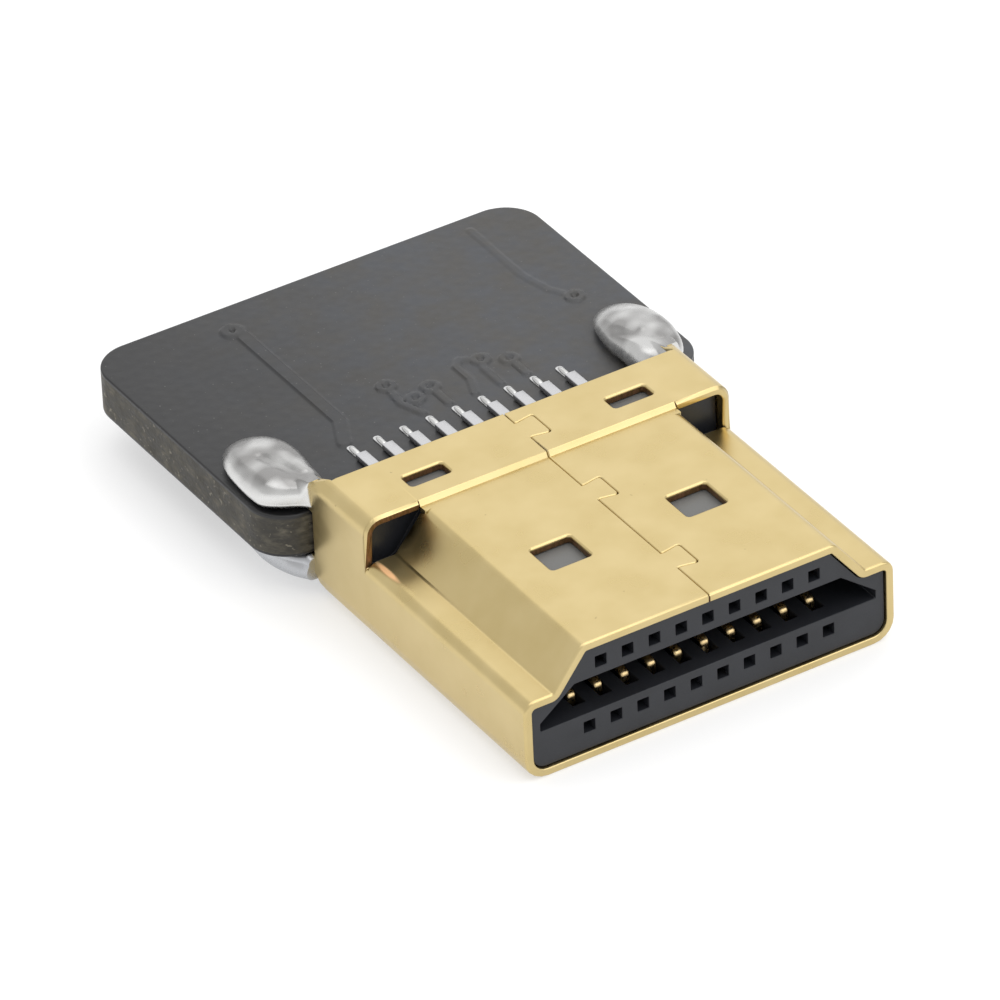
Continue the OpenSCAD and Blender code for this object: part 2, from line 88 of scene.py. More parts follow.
class Graph:
    """Node tree of one material, with short calls for the nodes that the finishes share."""

    def __init__(self, name: str) -> None:
        """Starts a material with a principled shader that is joined to its output.

        Args:
            name: Name of the material.
        """
        self.material = bpy.data.materials.new(name)
        self.material.use_nodes = True
        self.tree = self.material.node_tree
        self.tree.nodes.clear()
        self.shader = self.tree.nodes.new("ShaderNodeBsdfPrincipled")
        output = self.tree.nodes.new("ShaderNodeOutputMaterial")
        self.tree.links.new(self.shader.outputs["BSDF"], output.inputs["Surface"])
        self.place = self.tree.nodes.new("ShaderNodeTexCoord").outputs["Object"]

    def node(self, kind: str, **settings: object) -> bpy.types.Node:
        """Adds a node and sets its properties.

        Args:
            kind: Blender's name of the node type.
            **settings: Properties of the node and their values.

        Returns:
            The new node.
        """
        made = self.tree.nodes.new(kind)
        for key, value in settings.items():
            setattr(made, key, value)
        return made

    def feed(self, target: bpy.types.NodeSocket, value: object) -> None:
        """Links a socket to a target, or sets the target's own value.

        Args:
            target: Input socket.
            value: Output socket, number or colour.
        """
        if isinstance(value, bpy.types.NodeSocket):
            self.tree.links.new(value, target)
        elif isinstance(value, tuple) and len(value) == 3 and target.type == "RGBA":
            target.default_value = (*value, 1.0)
        else:
            target.default_value = value

    def stretched(self, x: float, y: float, z: float) -> bpy.types.NodeSocket:
        """Object coordinates multiplied along each axis.

        Args:
            x: Factor along X.
            y: Factor along Y.
            z: Factor along Z.

        Returns:
            The vector socket.
        """
        mapping = self.node("ShaderNodeMapping", vector_type="POINT")
        mapping.inputs["Scale"].default_value = (x, y, z)
        self.feed(mapping.inputs["Vector"], self.place)
        return mapping.outputs["Vector"]

    def noise(
        self,
        size: float,
        detail: float = 2.0,
        roughness: float = 0.5,
        vector: bpy.types.NodeSocket | None = None,
    ) -> bpy.types.NodeSocket:
        """Noise whose features measure about the given size.

        Args:
            size: Feature size in metres.
            detail: Number of finer layers.
            roughness: Strength of the finer layers.
            vector: Coordinates, or None for the object's own.

        Returns:
            The factor socket, from 0 to 1.
        """
        made = self.node("ShaderNodeTexNoise")
        made.inputs["Scale"].default_value = 1.0 / size
        made.inputs["Detail"].default_value = detail
        made.inputs["Roughness"].default_value = roughness
        self.feed(made.inputs["Vector"], vector or self.place)
        return made.outputs["Fac"]

    def spread(
        self, value: bpy.types.NodeSocket, low: float, high: float, to_low: float = 0.0, to_high: float = 1.0
    ) -> bpy.types.NodeSocket:
        """Maps a range of a value to another range, and holds it at the ends.

        Args:
            value: Socket to map.
            low: Value that gives to_low.
            high: Value that gives to_high.
            to_low: Result at the low end.
            to_high: Result at the high end.

        Returns:
            The mapped socket.
        """
        made = self.node("ShaderNodeMapRange", clamp=True)
        for key, number in (("From Min", low), ("From Max", high), ("To Min", to_low), ("To Max", to_high)):
            made.inputs[key].default_value = number
        self.feed(made.inputs["Value"], value)
        return made.outputs["Result"]

    def blend(self, factor: object, first: object, second: object) -> bpy.types.NodeSocket:
        """Mixes two colours.

        Args:
            factor: Share of the second colour, as a number or socket.
            first: First colour.
            second: Second colour.

        Returns:
            The colour socket.
        """
        made = self.node("ShaderNodeMix", data_type="RGBA")
        colours = [socket for socket in made.inputs if socket.type == "RGBA"]
        self.feed(made.inputs["Factor"], factor)
        self.feed(colours[0], first)
        self.feed(colours[1], second)
        return next(socket for socket in made.outputs if socket.type == "RGBA")

    def maths(self, operation: str, first: object, second: object) -> bpy.types.NodeSocket:
        """Joins two numbers with a maths operation.

        Args:
            operation: Blender's name of the operation.
            first: Number or socket.
            second: Number or socket.

        Returns:
            The result socket.
        """
        made = self.node("ShaderNodeMath", operation=operation)
        self.feed(made.inputs[0], first)
        self.feed(made.inputs[1], second)
        return made.outputs["Value"]

    def axis(self, name: str) -> bpy.types.NodeSocket:
        """One object coordinate in metres, by its name X, Y or Z."""
        return self._component(self.place, name)

    def facing(self, name: str) -> bpy.types.NodeSocket:
        """One component of the surface's normal, by its name X, Y or Z."""
        return self._component(self.node("ShaderNodeNewGeometry").outputs["Normal"], name)

    def _component(self, vector: bpy.types.NodeSocket, name: str) -> bpy.types.NodeSocket:
        """Takes one component from a vector.

        Args:
            vector: Vector socket.
            name: X, Y or Z.

        Returns:
            The component's socket.
        """
        split = self.node("ShaderNodeSeparateXYZ")
        self.feed(split.inputs["Vector"], vector)
        return split.outputs[name]

    def distance(self, place: Place, reach: Place) -> bpy.types.NodeSocket:
        """Distance from a place, counted in the reaches along the three axes.

        Args:
            place: The place.
            reach: Length along each axis that counts as 1.

        Returns:
            The distance socket.
        """
        mapping = self.node("ShaderNodeMapping", vector_type="TEXTURE")
        mapping.inputs["Location"].default_value = place
        mapping.inputs["Scale"].default_value = reach
        self.feed(mapping.inputs["Vector"], self.place)
        length = self.node("ShaderNodeVectorMath", operation="LENGTH")
        self.feed(length.inputs[0], mapping.outputs["Vector"])
        return length.outputs["Value"]

    def bump(self, height: bpy.types.NodeSocket, depth: float, strength: float) -> None:
        """Raises the shader's surface by a height, after any bump that is there already.

        Args:
            height: Height socket, from 0 to 1.
            depth: Depth of the relief in metres.
            strength: Share of the relief that is used.
        """
        made = self.node("ShaderNodeBump")
        made.inputs["Distance"].default_value = depth
        made.inputs["Strength"].default_value = strength
        self.feed(made.inputs["Height"], height)
        target = self.shader.inputs["Normal"]
        if target.is_linked:
            self.feed(made.inputs["Normal"], target.links[0].from_socket)
        self.feed(target, made.outputs["Normal"])

    def set(self, **values: object) -> None:
        """Sets inputs of the shader, named in lower case with underscores."""
        for key, value in values.items():
            self.feed(self.shader.inputs[key.replace("_", " ").title().replace("Ior", "IOR")], value)


@dataclass(frozen=True)
class GoldPlate:
    """Satin gold plating with a few dark scuffs.

    Beside the left corner opening the ledge's fold shows the copper where the plating is abraded through, lit
    up as a painted highlight, and the slope is darkened with painted shade.
    """

    colour: Colour = (0.59, 0.465, 0.22)
    pale: Colour = (0.63, 0.505, 0.255)
    pale_range: Range = (0.35, 0.7)
    cloud: float = 1.4 * MM
    cloud_relief: Relief = (0.008 * MM, 1.0)
    roughness: Range = (0.26, 0.36)
    scuffed: Colour = (0.25, 0.18, 0.09)
    scuff: float = 0.22 * MM
    scuff_range: Range = (0.8, 0.86)
    scuff_share: float = 0.5
    # painted shade on the slope beside the left corner opening
    slope_shade: Colour = (0.05, 0.034, 0.014)
    shade_place: Place = (-5.3 * MM, -2.95 * MM, 3.7 * MM)
    shade_reach: Place = (0.75 * MM, 0.55 * MM, 0.75 * MM)
    shade_fade: Range = (0.3, 1.0)
    shade_share: float = 0.95
    # copper where the plating is abraded through, made bright as a painted highlight by a low metallic share
    rubbed_glint: Colour = (1.0, 0.58, 0.29)
    rub_glint_place: Place = (-6.58 * MM, -3.65 * MM, 3.0 * MM)
    rub_glint_reach: Place = (0.13 * MM, 0.85 * MM, 0.14 * MM)
    rub_glint_fade: Range = (0.5, 1.0)
    rub_glint_metallic: float = 0.3

    def build(self) -> bpy.types.Material:
        """Makes the material.

        Returns:
            The new material.
        """
        graph = Graph("gold_plate")
        cloud = graph.noise(self.cloud)
        scuffs = graph.spread(graph.noise(self.scuff, detail=1.0), *self.scuff_range, 0.0, self.scuff_share)
        # painted shade on the slope
        from_shade = graph.distance(self.shade_place, self.shade_reach)
        slope_shade_mask = graph.spread(from_shade, *self.shade_fade, self.shade_share, 0.0)
        # abraded copper patch on the ledge's fold, with its painted highlight
        worn_glint = graph.spread(graph.distance(self.rub_glint_place, self.rub_glint_reach), *self.rub_glint_fade, 1.0, 0.0)
        plating = graph.blend(graph.spread(cloud, *self.pale_range), self.colour, self.pale)
        plating = graph.blend(scuffs, plating, self.scuffed)
        plating = graph.blend(slope_shade_mask, plating, self.slope_shade)
        graph.set(base_color=graph.blend(worn_glint, plating, self.rubbed_glint))
        graph.set(metallic=graph.spread(worn_glint, 0.0, 1.0, 1.0, self.rub_glint_metallic))
        graph.set(roughness=graph.spread(cloud, *MOST, *self.roughness))
        graph.bump(cloud, *self.cloud_relief)
        return graph.material


@dataclass(frozen=True)
class ShearedEdge:
    """Thin warm plating on the sheared edges, which show the copper alloy of the sheet."""

    plated: Colour = (0.15, 0.085, 0.032)
    bare: Colour = (0.24, 0.12, 0.06)
    bare_range: Range = (0.4, 0.65)
    metallic: float = 0.7
    roughness: Range = (0.3, 0.48)
    streak: float = 0.08 * MM
    streak_factors: Factors = (1.0, 1.0, 0.25)
    streak_relief: Relief = (0.006 * MM, 0.7)

    def build(self) -> bpy.types.Material:
        """Makes the material.

        Returns:
            The new material.
        """
        graph = Graph("sheared_edge")
        streaks = graph.noise(self.streak, vector=graph.stretched(*self.streak_factors))
        graph.set(base_color=graph.blend(graph.spread(streaks, *self.bare_range), self.plated, self.bare))
        graph.set(metallic=self.metallic, roughness=graph.spread(streaks, *MOST, *self.roughness))
        graph.bump(streaks, *self.streak_relief)
        return graph.material


@dataclass(frozen=True)
class ContactPlate:
    """Gold plating on the noses, and tin from the insulator's rear back."""

    gold: Colour = (0.66, 0.50, 0.26)
    tin: Colour = (0.55, 0.55, 0.56)
    change_y: Range = (-0.8 * MM, -0.5 * MM)
    sheen: float = 0.12 * MM
    roughness: Range = (0.22, 0.36)
    grain: float = 0.04 * MM
    grain_relief: Relief = (0.0015 * MM, 1.0)

    def build(self) -> bpy.types.Material:
        """Makes the material.

        Returns:
            The new material.
        """
        graph = Graph("contact_plate")
        share = graph.spread(graph.axis("Y"), *self.change_y)
        graph.set(base_color=graph.blend(share, self.gold, self.tin), metallic=1.0)
        graph.set(roughness=graph.spread(graph.noise(self.sheen), *MOST, *self.roughness))
        graph.bump(graph.noise(self.grain), *self.grain_relief)
        return graph.material


@dataclass(frozen=True)
class Moulding:
    """Satin black plastic with a faint moulded grain, and a painted sheen: paler on the up-facing faces near
    the top.
    """

    colour: Colour = (0.012, 0.013, 0.016)
    patch: float = 0.9 * MM
    patch_gain: float = 1.8
    # painted sheen: a paler colour on the up-facing faces near the top
    upward_tone: Colour = (0.14, 0.14, 0.135)
    painted_sheen_z: Range = (4.0 * MM, 4.05 * MM)
    painted_sheen_facing: Range = (0.8, 0.95)
    grain: float = 0.06 * MM
    grain_relief: Relief = (0.002 * MM, 1.0)
    roughness: Range = (0.34, 0.48)
    gloss: float = 0.42

    def build(self) -> bpy.types.Material:
        """Makes the material.

        Returns:
            The new material.
        """
        graph = Graph("moulding")
        grain = graph.noise(self.grain)
        pale = tuple(self.patch_gain * part for part in self.colour)
        tone = graph.blend(graph.noise(self.patch), self.colour, pale)
        # painted sheen on the up-facing faces near the top
        high = graph.spread(graph.axis("Z"), *self.painted_sheen_z)
        level = graph.spread(graph.facing("Z"), *self.painted_sheen_facing)
        graph.set(base_color=graph.blend(graph.maths("MULTIPLY", high, level), tone, self.upward_tone))
        graph.set(roughness=graph.spread(grain, *MOST, *self.roughness), specular_ior_level=self.gloss)
        graph.bump(grain, *self.grain_relief)
        return graph.material


@dataclass(frozen=True)
class SolderMask:
    """Satin black solder mask, mottled by the weave of the laminate, and darkened towards the left by painted
    shade.
    """

    warm: Colour = (0.040, 0.037, 0.033)
    cool: Colour = (0.037, 0.040, 0.047)
    cool_range: Range = (0.35, 0.65)
    patch: float = 1.3 * MM
    dust: Colour = (0.08, 0.08, 0.075)
    speck: float = 0.09 * MM
    speck_range: Range = (0.81, 0.85)
    # painted shade: the mask is darker towards the left of the board
    mask_shade: Colour = (0.007, 0.007, 0.008)
    mask_shade_x: Range = (-6.0 * MM, 5.0 * MM)
    mask_shade_cloud: float = 2.2 * MM
    mask_shade_drift: float = 4 * MM
    roughness: Range = (0.30, 0.42)
    gloss: float = 0.5
    mottle: float = 0.28 * MM
    mottle_relief: Relief = (0.006 * MM, 0.8)
    finer: float = 0.6
    weave: float = 0.55 * MM
    weave_relief: Relief = (0.006 * MM, 0.6)
    weave_wander: float = 0.6
    band: float = 0.314  # length of one band of Blender's wave texture at a scale of 1

    def build(self) -> bpy.types.Material:
        """Makes the material.

        Returns:
            The new material.
        """
        graph = Graph("solder_mask")
        mottle = graph.noise(self.mottle, detail=3.0, roughness=self.finer)
        specks = graph.spread(graph.noise(self.speck, detail=0.0), *self.speck_range)
        patches = graph.noise(self.patch, detail=3.0, roughness=self.finer)
        tone = graph.blend(graph.spread(patches, *self.cool_range), self.warm, self.cool)
        # painted shade towards the left, along a wandering line
        drift = graph.maths("MULTIPLY", graph.noise(self.mask_shade_cloud), self.mask_shade_drift)
        across = graph.maths("ADD", graph.axis("X"), drift)
        tone = graph.blend(graph.spread(across, *self.mask_shade_x), self.mask_shade, tone)
        graph.set(base_color=graph.blend(specks, tone, self.dust))
        graph.set(roughness=graph.spread(mottle, *MOST, *self.roughness), specular_ior_level=self.gloss)
        graph.bump(self._weave(graph), *self.weave_relief)
        graph.bump(mottle, *self.mottle_relief)
        return graph.material

    def _weave(self, graph: Graph) -> bpy.types.NodeSocket:
        """Plain weave of the glass cloth, as two crossed waves.

        Args:
            graph: Node tree of the material.

        Returns:
            The height socket.
        """
        waves = []
        for direction in ("X", "Y"):
            wave = graph.node("ShaderNodeTexWave", wave_type="BANDS", bands_direction=direction)
            wave.inputs["Scale"].default_value = self.band / self.weave
            wave.inputs["Distortion"].default_value = self.weave_wander
            wave.inputs["Detail"].default_value = 1.0
            graph.feed(wave.inputs["Vector"], graph.place)
            waves.append(wave.outputs["Fac"])
        return graph.maths("MULTIPLY", *waves)


@dataclass(frozen=True)
class Laminate:
    """Sawn edge of the glass-fibre laminate: dark resin in layers, with pale fibre ends."""

    resin: Colour = (0.020, 0.017, 0.011)
    fibre: Colour = (0.15, 0.135, 0.10)
    patch: float = 0.7 * MM
    patch_range: Range = (0.35, 0.65)
    patch_share: Range = (0.15, 0.9)
    layer: float = 0.2 * MM
    layer_factors: Factors = (0.35, 0.35, 1.0)
    layer_range: Range = (0.4, 0.75)
    layer_relief: Relief = (0.03 * MM, 0.8)
    finer: float = 0.65
    fleck: float = 0.16 * MM
    fleck_range: Range = (0.66, 0.74)
    fleck_relief: Relief = (0.02 * MM, 0.6)
    roughness: Range = (0.45, 0.7)

    def build(self) -> bpy.types.Material:
        """Makes the material.

        Returns:
            The new material.
        """
        graph = Graph("laminate")
        patches = graph.spread(graph.noise(self.patch), *self.patch_range, *self.patch_share)
        along = graph.stretched(*self.layer_factors)
        layers = graph.noise(self.layer, detail=3.0, roughness=self.finer, vector=along)
        flecks = graph.noise(self.fleck, detail=1.0)
        share = graph.maths("MULTIPLY", graph.spread(layers, *self.layer_range), patches)
        share = graph.maths("MAXIMUM", share, graph.spread(flecks, *self.fleck_range))
        graph.set(base_color=graph.blend(share, self.resin, self.fibre))
        graph.set(roughness=graph.spread(layers, *MOST, *self.roughness))
        graph.bump(layers, *self.layer_relief)
        graph.bump(flecks, *self.fleck_relief)
        return graph.material


@dataclass(frozen=True)
class Tin:
    """Tinned copper of the lands."""

    colour: Colour = (0.56, 0.56, 0.56)
    grain: float = 0.1 * MM
    grain_relief: Relief = (0.004 * MM, 1.0)
    roughness: Range = (0.24, 0.42)

    def build(self) -> bpy.types.Material:
        """Makes the material.

        Returns:
            The new material.
        """
        graph = Graph("tin")
        grain = graph.noise(self.grain)
        graph.set(base_color=self.colour, metallic=1.0)
        graph.set(roughness=graph.spread(grain, *MOST, *self.roughness))
        graph.bump(grain, *self.grain_relief)
        return graph.material


@dataclass(frozen=True)
class Solder:
    """Reflowed solder: bright on its sides, duller in patches on top, where flux dried."""

    bright: Colour = (0.68, 0.68, 0.67)
    dull: Colour = (0.29, 0.285, 0.28)
    flux: float = 1.0
    flux_least: float = 0.35
    flux_range: Range = (0.36, 0.58)
    flux_facing: Range = (0.1, 0.85)
    patch: float = 1.1 * MM
    cloud: float = 0.8 * MM
    cloud_relief: Relief = (0.04 * MM, 0.35)
    wrinkle: float = 0.16 * MM
    wrinkle_relief: Relief = (0.008 * MM, 0.3)
    finer: float = 0.6
    roughness: Range = (0.2, 0.36)
    rough_range: Range = (0.7, 1.3)

    def build(self) -> bpy.types.Material:
        """Makes the material.

        Returns:
            The new material.
        """
        graph = Graph("solder")
        cloud = graph.noise(self.cloud)
        wrinkle = graph.noise(self.wrinkle, detail=3.0, roughness=self.finer)
        patch = graph.noise(self.patch, detail=1.0)
        patches = graph.spread(patch, *self.flux_range, self.flux_least * self.flux, self.flux)
        upward_tone = graph.maths("MULTIPLY", patches, graph.spread(graph.facing("Z"), *self.flux_facing))
        both = graph.maths("ADD", cloud, wrinkle)
        graph.set(base_color=graph.blend(upward_tone, self.bright, self.dull), metallic=1.0)
        graph.set(roughness=graph.spread(both, *self.rough_range, *self.roughness))
        graph.bump(cloud, *self.cloud_relief)
        graph.bump(wrinkle, *self.wrinkle_relief)
        return graph.material


# Meshes


@dataclass(frozen=True)
class EdgeBreak:
    """How one kind of sharp edge is rounded; without segments it stays sharp.

    The material is the index of the rounding's finish, or -1 for the finish of the faces beside it.
    """

    width: float
    segments: int
    picks: Callable[[bmesh.types.BMEdge], bool]
    material: int = -1


def finish_piece(
    name: str, nodes: tuple[str, ...], mesh: bpy.types.Mesh, slot: Slot, *materials: bpy.types.Material
) -> bpy.types.Object:
    """Makes a mesh into a smooth-shaded piece that rides on the part and stands for CAD nodes.

    Args:
        name: Name of the piece.
        nodes: CAD nodes that it replaces.
        mesh: Its mesh, in place.
        slot: Record slot of its finish; not used.
        *materials: Its materials, in the order of the faces' indices.

    Returns:
        The new object.
    """
    for material in materials:
        mesh.materials.append(material)
    mesh.polygons.foreach_set("use_smooth", [True] * len(mesh.polygons))
    mesh.set_sharp_from_angle(angle=SHARP)
    piece = bpy.data.objects.new(name, mesh)
    bpy.context.scene.collection.objects.link(piece)
    weigh_normals(piece)
    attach(piece, "root")
    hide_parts(*nodes)
    return piece


def weigh_normals(piece: bpy.types.Object) -> None:
    """Keeps large faces flat beside their rounded edges, by weighting normals with face area.

    Args:
        piece: Piece whose mesh gets the normals.
    """
    modifier = piece.modifiers.new("weights", "WEIGHTED_NORMAL")
    modifier.keep_sharp = True
    bake_modifiers(piece)


def bake_modifiers(piece: bpy.types.Object) -> None:
    """Turns a piece's modifiers into plain mesh and takes them off.

    Args:
        piece: Piece to change.
    """
    bpy.context.view_layer.update()
    evaluated = piece.evaluated_get(bpy.context.evaluated_depsgraph_get())
    mesh = bpy.data.meshes.new_from_object(evaluated)
    piece.modifiers.clear()
    piece.data = mesh


def clean_copy(node: str) -> bmesh.types.BMesh:
    """Copies a CAD node with its loose triangles merged and its flat areas made one face each.

    Args:
        node: Name of the CAD node.

    Returns:
        The merged copy.
    """
    mesh = bmesh.new()
    mesh.from_mesh(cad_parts[node].data)
    bmesh.ops.remove_doubles(mesh, verts=mesh.verts, dist=0.2 * TINY)
    bmesh.ops.dissolve_limit(mesh, angle_limit=FLAT, verts=mesh.verts, edges=mesh.edges)
    mesh.normal_update()
    return mesh


def to_mesh(source: bmesh.types.BMesh, name: str) -> bpy.types.Mesh:
    """Writes a bmesh to a new mesh and frees it.

    Args:
        source: Mesh to write.
        name: Name of the new mesh.

    Returns:
        The new mesh.
    """
    mesh = bpy.data.meshes.new(name)
    source.to_mesh(mesh)
    source.free()
    return mesh


def closed_rings(rings: np.ndarray) -> bmesh.types.BMesh:
    """Joins rings of points to a closed shape with a flat foot.

    Args:
        rings: Points, one row of them for each ring, from the foot to a ring that meets in one point.

    Returns:
        The closed mesh, with its faces outwards.
    """
    mesh = bmesh.new()
    verts = [[mesh.verts.new(point) for point in ring] for ring in rings]
    for outer, inner in zip(verts, verts[1:]):
        for i in range(len(outer)):
            j = (i + 1) % len(outer)
            mesh.faces.new((outer[i], outer[j], inner[j], inner[i]))
    mesh.faces.new(verts[0][::-1])
    bmesh.ops.remove_doubles(mesh, verts=mesh.verts, dist=0.5 * TINY)
    bmesh.ops.recalc_face_normals(mesh, faces=mesh.faces)
    return mesh


def is_sharp(edge: bmesh.types.BMEdge) -> bool:
    """Whether an edge turns by more than the sheet's finest fold."""
    return len(edge.link_faces) == 2 and edge.calc_face_angle() > SHARP


def any_edge(_edge: bmesh.types.BMEdge) -> bool:
    """Picks every edge that no other kind picked."""
    return True


def middle(edge: bmesh.types.BMEdge) -> Vector:
    """Place halfway along an edge."""
    return (edge.verts[0].co + edge.verts[1].co) / 2


def round_edges(mesh: bmesh.types.BMesh, breaks: list[EdgeBreak]) -> None:
    """Rounds the sharp edges, each by the first break that picks it.

    Args:
        mesh: Mesh to change.
        breaks: Kinds of edges, the most particular first.
    """
    layer = mesh.edges.layers.int.new("kind")
    for edge in mesh.edges:
        if is_sharp(edge):
            edge[layer] = next(number for number, kind in enumerate(breaks, start=1) if kind.picks(edge))
    for number, kind in enumerate(breaks, start=1):
        if not kind.segments:
            continue
        edges = [edge for edge in mesh.edges if edge[layer] == number and is_sharp(edge)]
        bmesh.ops.bevel(
            mesh, geom=edges, offset=kind.width, offset_type="OFFSET", segments=kind.segments,
            profile=0.5, affect="EDGES", clamp_overlap=False, miter_outer="SHARP", material=kind.material,
        )
    mesh.edges.layers.int.remove(layer)


def fade(value: np.ndarray, start: float, end: float) -> np.ndarray:
    """Smooth step from 0 to 1, where a value goes from start to end."""
    share = np.clip((value - start) / (end - start), 0.0, 1.0)
    return share * share * (3 - 2 * share)


# Parts


@dataclass(frozen=True)
class Shell:
    """Shell, folded from one sheet and plated, with places along it counted back from the mouth."""

    sheet: float = 0.3 * MM
    roof_inside: float = 4.1 * MM
    middle_z: float = 2.2 * MM
    mouth_depth: float = 0.125 * MM
    front_end: float = 9.15 * MM
    band_start: float = 9.5 * MM
    band_end: float = 12.1 * MM
    rim_round: float = 0.10 * MM
    inner_round: float = 0.05 * MM
    cut_round: float = 0.035 * MM
    seam_round: float = 0.055 * MM
    seam_reach: float = 1.3 * MM
    seam_closing: float = 0.02 * MM
    window_round: float = 0.1 * MM
    window_x: Range = (1.5 * MM, 4.7 * MM)
    window_y: Range = (3.0 * MM, 11.6 * MM)
    step: Range = (9.22 * MM, 9.46 * MM)
    step_half: float = 4.86 * MM
    step_z: float = 4.44 * MM
    step_heights: tuple[float, ...] = (4.45 * MM, 4.468 * MM, 4.612 * MM, 4.63 * MM)
    step_profile: tuple[Point, ...] = (
        (9.37 * MM, 4.45 * MM), (9.39 * MM, 4.46 * MM), (9.474 * MM, 4.614 * MM), (9.5 * MM, 4.63 * MM)
    )
    front_reach: float = 0.25 * MM
    notch: Range = (4.88 * MM, 4.90 * MM)
    corner_x: Range = (4.5 * MM, 4.91 * MM)
    corner_y: Range = (9.05 * MM, 9.51 * MM)
    corner_z: float = 3.7 * MM
    arch_round: float = 0.1 * MM
    arch_reach: float = 0.1 * MM
    arch_heights: Range = (2.8 * MM, 4.03 * MM)
    arch_top: float = 4.0 * MM
    facing: float = 0.9  # least share of a normal along an axis, on a face that looks along it
    steep: Range = (0.1, 0.3)  # most upward share of a normal, on a wall of the seam and on any cut wall
    level: float = 0.99  # least upward share of a normal, on a flat face

    def build(self, gold: bpy.types.Material, sheared: bpy.types.Material) -> bpy.types.Object:
        """Makes the dressed shell with rounded rim, seam and cut edges.

        Args:
            gold: Its plating.
            sheared: Finish of the edges that were cut through the sheet.

        Returns:
            The new piece.
        """
        mesh = clean_copy("shell")
        self._close_seam(mesh)
        self._steepen_step(mesh)
        self._lengthen_front(mesh)
        for face in mesh.faces:
            face.material_index = int(self._is_sheared(face))
        round_edges(mesh, [
            EdgeBreak(self.rim_round, 4, self._on_rim),
            EdgeBreak(self.inner_round, 3, self._in_mouth),
            EdgeBreak(self.seam_round, 3, self._on_seam, 0),
            EdgeBreak(self.window_round, 4, self._on_window, 0),
            EdgeBreak(0.0, 0, self._in_corner),
            EdgeBreak(self.arch_round, 1, self._on_arch, 0),
            EdgeBreak(self.cut_round, 2, any_edge),
        ])
        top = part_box("shell")[1].z
        for vert in mesh.verts:
            vert.co.z = min(vert.co.z, top)
        made = to_mesh(mesh, "plated_shell")
        return finish_piece("plated_shell", ("shell",), made, Slot.GOLD, gold, sheared)

    def _close_seam(self, mesh: bmesh.types.BMesh) -> None:
        """Brings the walls of the butt seam together, until only a fine line is left.

        Args:
            mesh: The shell's mesh.
        """
        walls = {face for face in mesh.faces if self._is_seam_wall(face)}
        moves = {}
        for vert in mesh.verts:
            normals = [face.normal for face in vert.link_faces if face in walls]
            if normals:
                total = sum(normals, Vector())
                moves[vert] = total * (self.seam_closing * len(normals) / total.length_squared)
        for vert, move in moves.items():
            vert.co += move

    def _steepen_step(self, mesh: bmesh.types.BMesh) -> None:
        """Makes the step before the band steeper, in line with the fronts of the arches.

        Args:
            mesh: The shell's mesh.
        """
        front, rear = (MOUTH_Y + y for y in self.step)
        places, heights = zip(*self.step_profile)
        for vert in mesh.verts:
            if front < vert.co.y < rear and abs(vert.co.x) < self.step_half and vert.co.z > self.step_z:
                height = vert.co.z
                vert.co.y = MOUTH_Y + float(np.interp(height, self.step_heights, places))
                vert.co.z = float(np.interp(height, self.step_heights, heights))
        bmesh.ops.remove_doubles(mesh, verts=mesh.verts, dist=TINY)

    def _lengthen_front(self, mesh: bmesh.types.BMesh) -> None:
        """Narrows the slit before the band, from the slopes and ledges and from the arches over them.

        Args:
            mesh: The shell's mesh.
        """
        front, band = MOUTH_Y + self.front_end, MOUTH_Y + self.band_start
        for x in (place * side for place in self.notch for side in (-1, 1)):
            faces = [
                face for face in mesh.faces
                if any(min(abs(vert.co.y - front), abs(vert.co.y - band)) < TINY for vert in face.verts)
            ]
            parts = dict.fromkeys(item for face in faces for item in (face, *face.edges, *face.verts))
            bmesh.ops.bisect_plane(
                mesh, geom=list(parts), dist=CUT_REACH, plane_co=(x, 0, 0), plane_no=(1, 0, 0)
            )
        for vert in mesh.verts:
            if abs(vert.co.x) < self.notch[1] - TINY:
                continue
            if abs(vert.co.y - front) < TINY:
                vert.co.y += self.front_reach
            elif abs(vert.co.y - band) < TINY:
                vert.co.y -= float(np.interp(vert.co.z, self.arch_heights, (0.0, self.arch_reach)))
        mesh.normal_update()

    def _is_seam_wall(self, face: bmesh.types.BMFace) -> bool:
        """Whether a face is a wall of the seam.

        Args:
            face: Face of the shell.

        Returns:
            True if it is.
        """
        centre = face.calc_center_median()
        beside = abs(centre.x) > self.seam_reach or centre.z < self.roof_inside
        if beside or abs(face.normal.z) > self.steep[0]:
            return False
        return MOUTH_Y + NEAR < centre.y < MOUTH_Y + self.band_end - NEAR

    def _is_sheared(self, face: bmesh.types.BMFace) -> bool:
        """Whether a face takes the sheared finish: the walls of the seam, windows and corner openings, which
        were cut through the sheet, and the faces just inside the mouth.

        Args:
            face: Face of the shell.

        Returns:
            True if it was.
        """
        centre = face.calc_center_median()
        at_end = centre.y < MOUTH_Y + NEAR or centre.y > MOUTH_Y + self.band_end
        in_mouth = max(vert.co.y for vert in face.verts) < MOUTH_Y + self.mouth_depth + TINY
        if at_end and abs(face.normal.y) > self.facing:
            return False
        if abs(face.normal.z) > self.steep[1] and not in_mouth:
            return False
        in_sheet = centre.z > self.roof_inside or centre.z < self.sheet
        in_window = in_sheet and abs(centre.x) < self.window_x[1]
        at_arch = abs(centre.y - MOUTH_Y - self.band_start) < self.arch_reach + NEAR
        on_arch = face.normal.y < -self.facing and at_arch and centre.x < 0
        # the plated faces just inside the mouth take this finish as a painted reflection of the rounded inner
        # edge
        return in_mouth or in_window or face.normal.y > self.facing or on_arch

    def _in_mouth(self, edge: bmesh.types.BMEdge) -> bool:
        """Whether an edge lies in the plane of the mouth."""
        return all(vert.co.y < MOUTH_Y + NEAR for vert in edge.verts)

    def _on_rim(self, edge: bmesh.types.BMEdge) -> bool:
        """Whether an edge lies on the outer outline of the mouth."""
        return self._in_mouth(edge) and self._is_outer(edge)

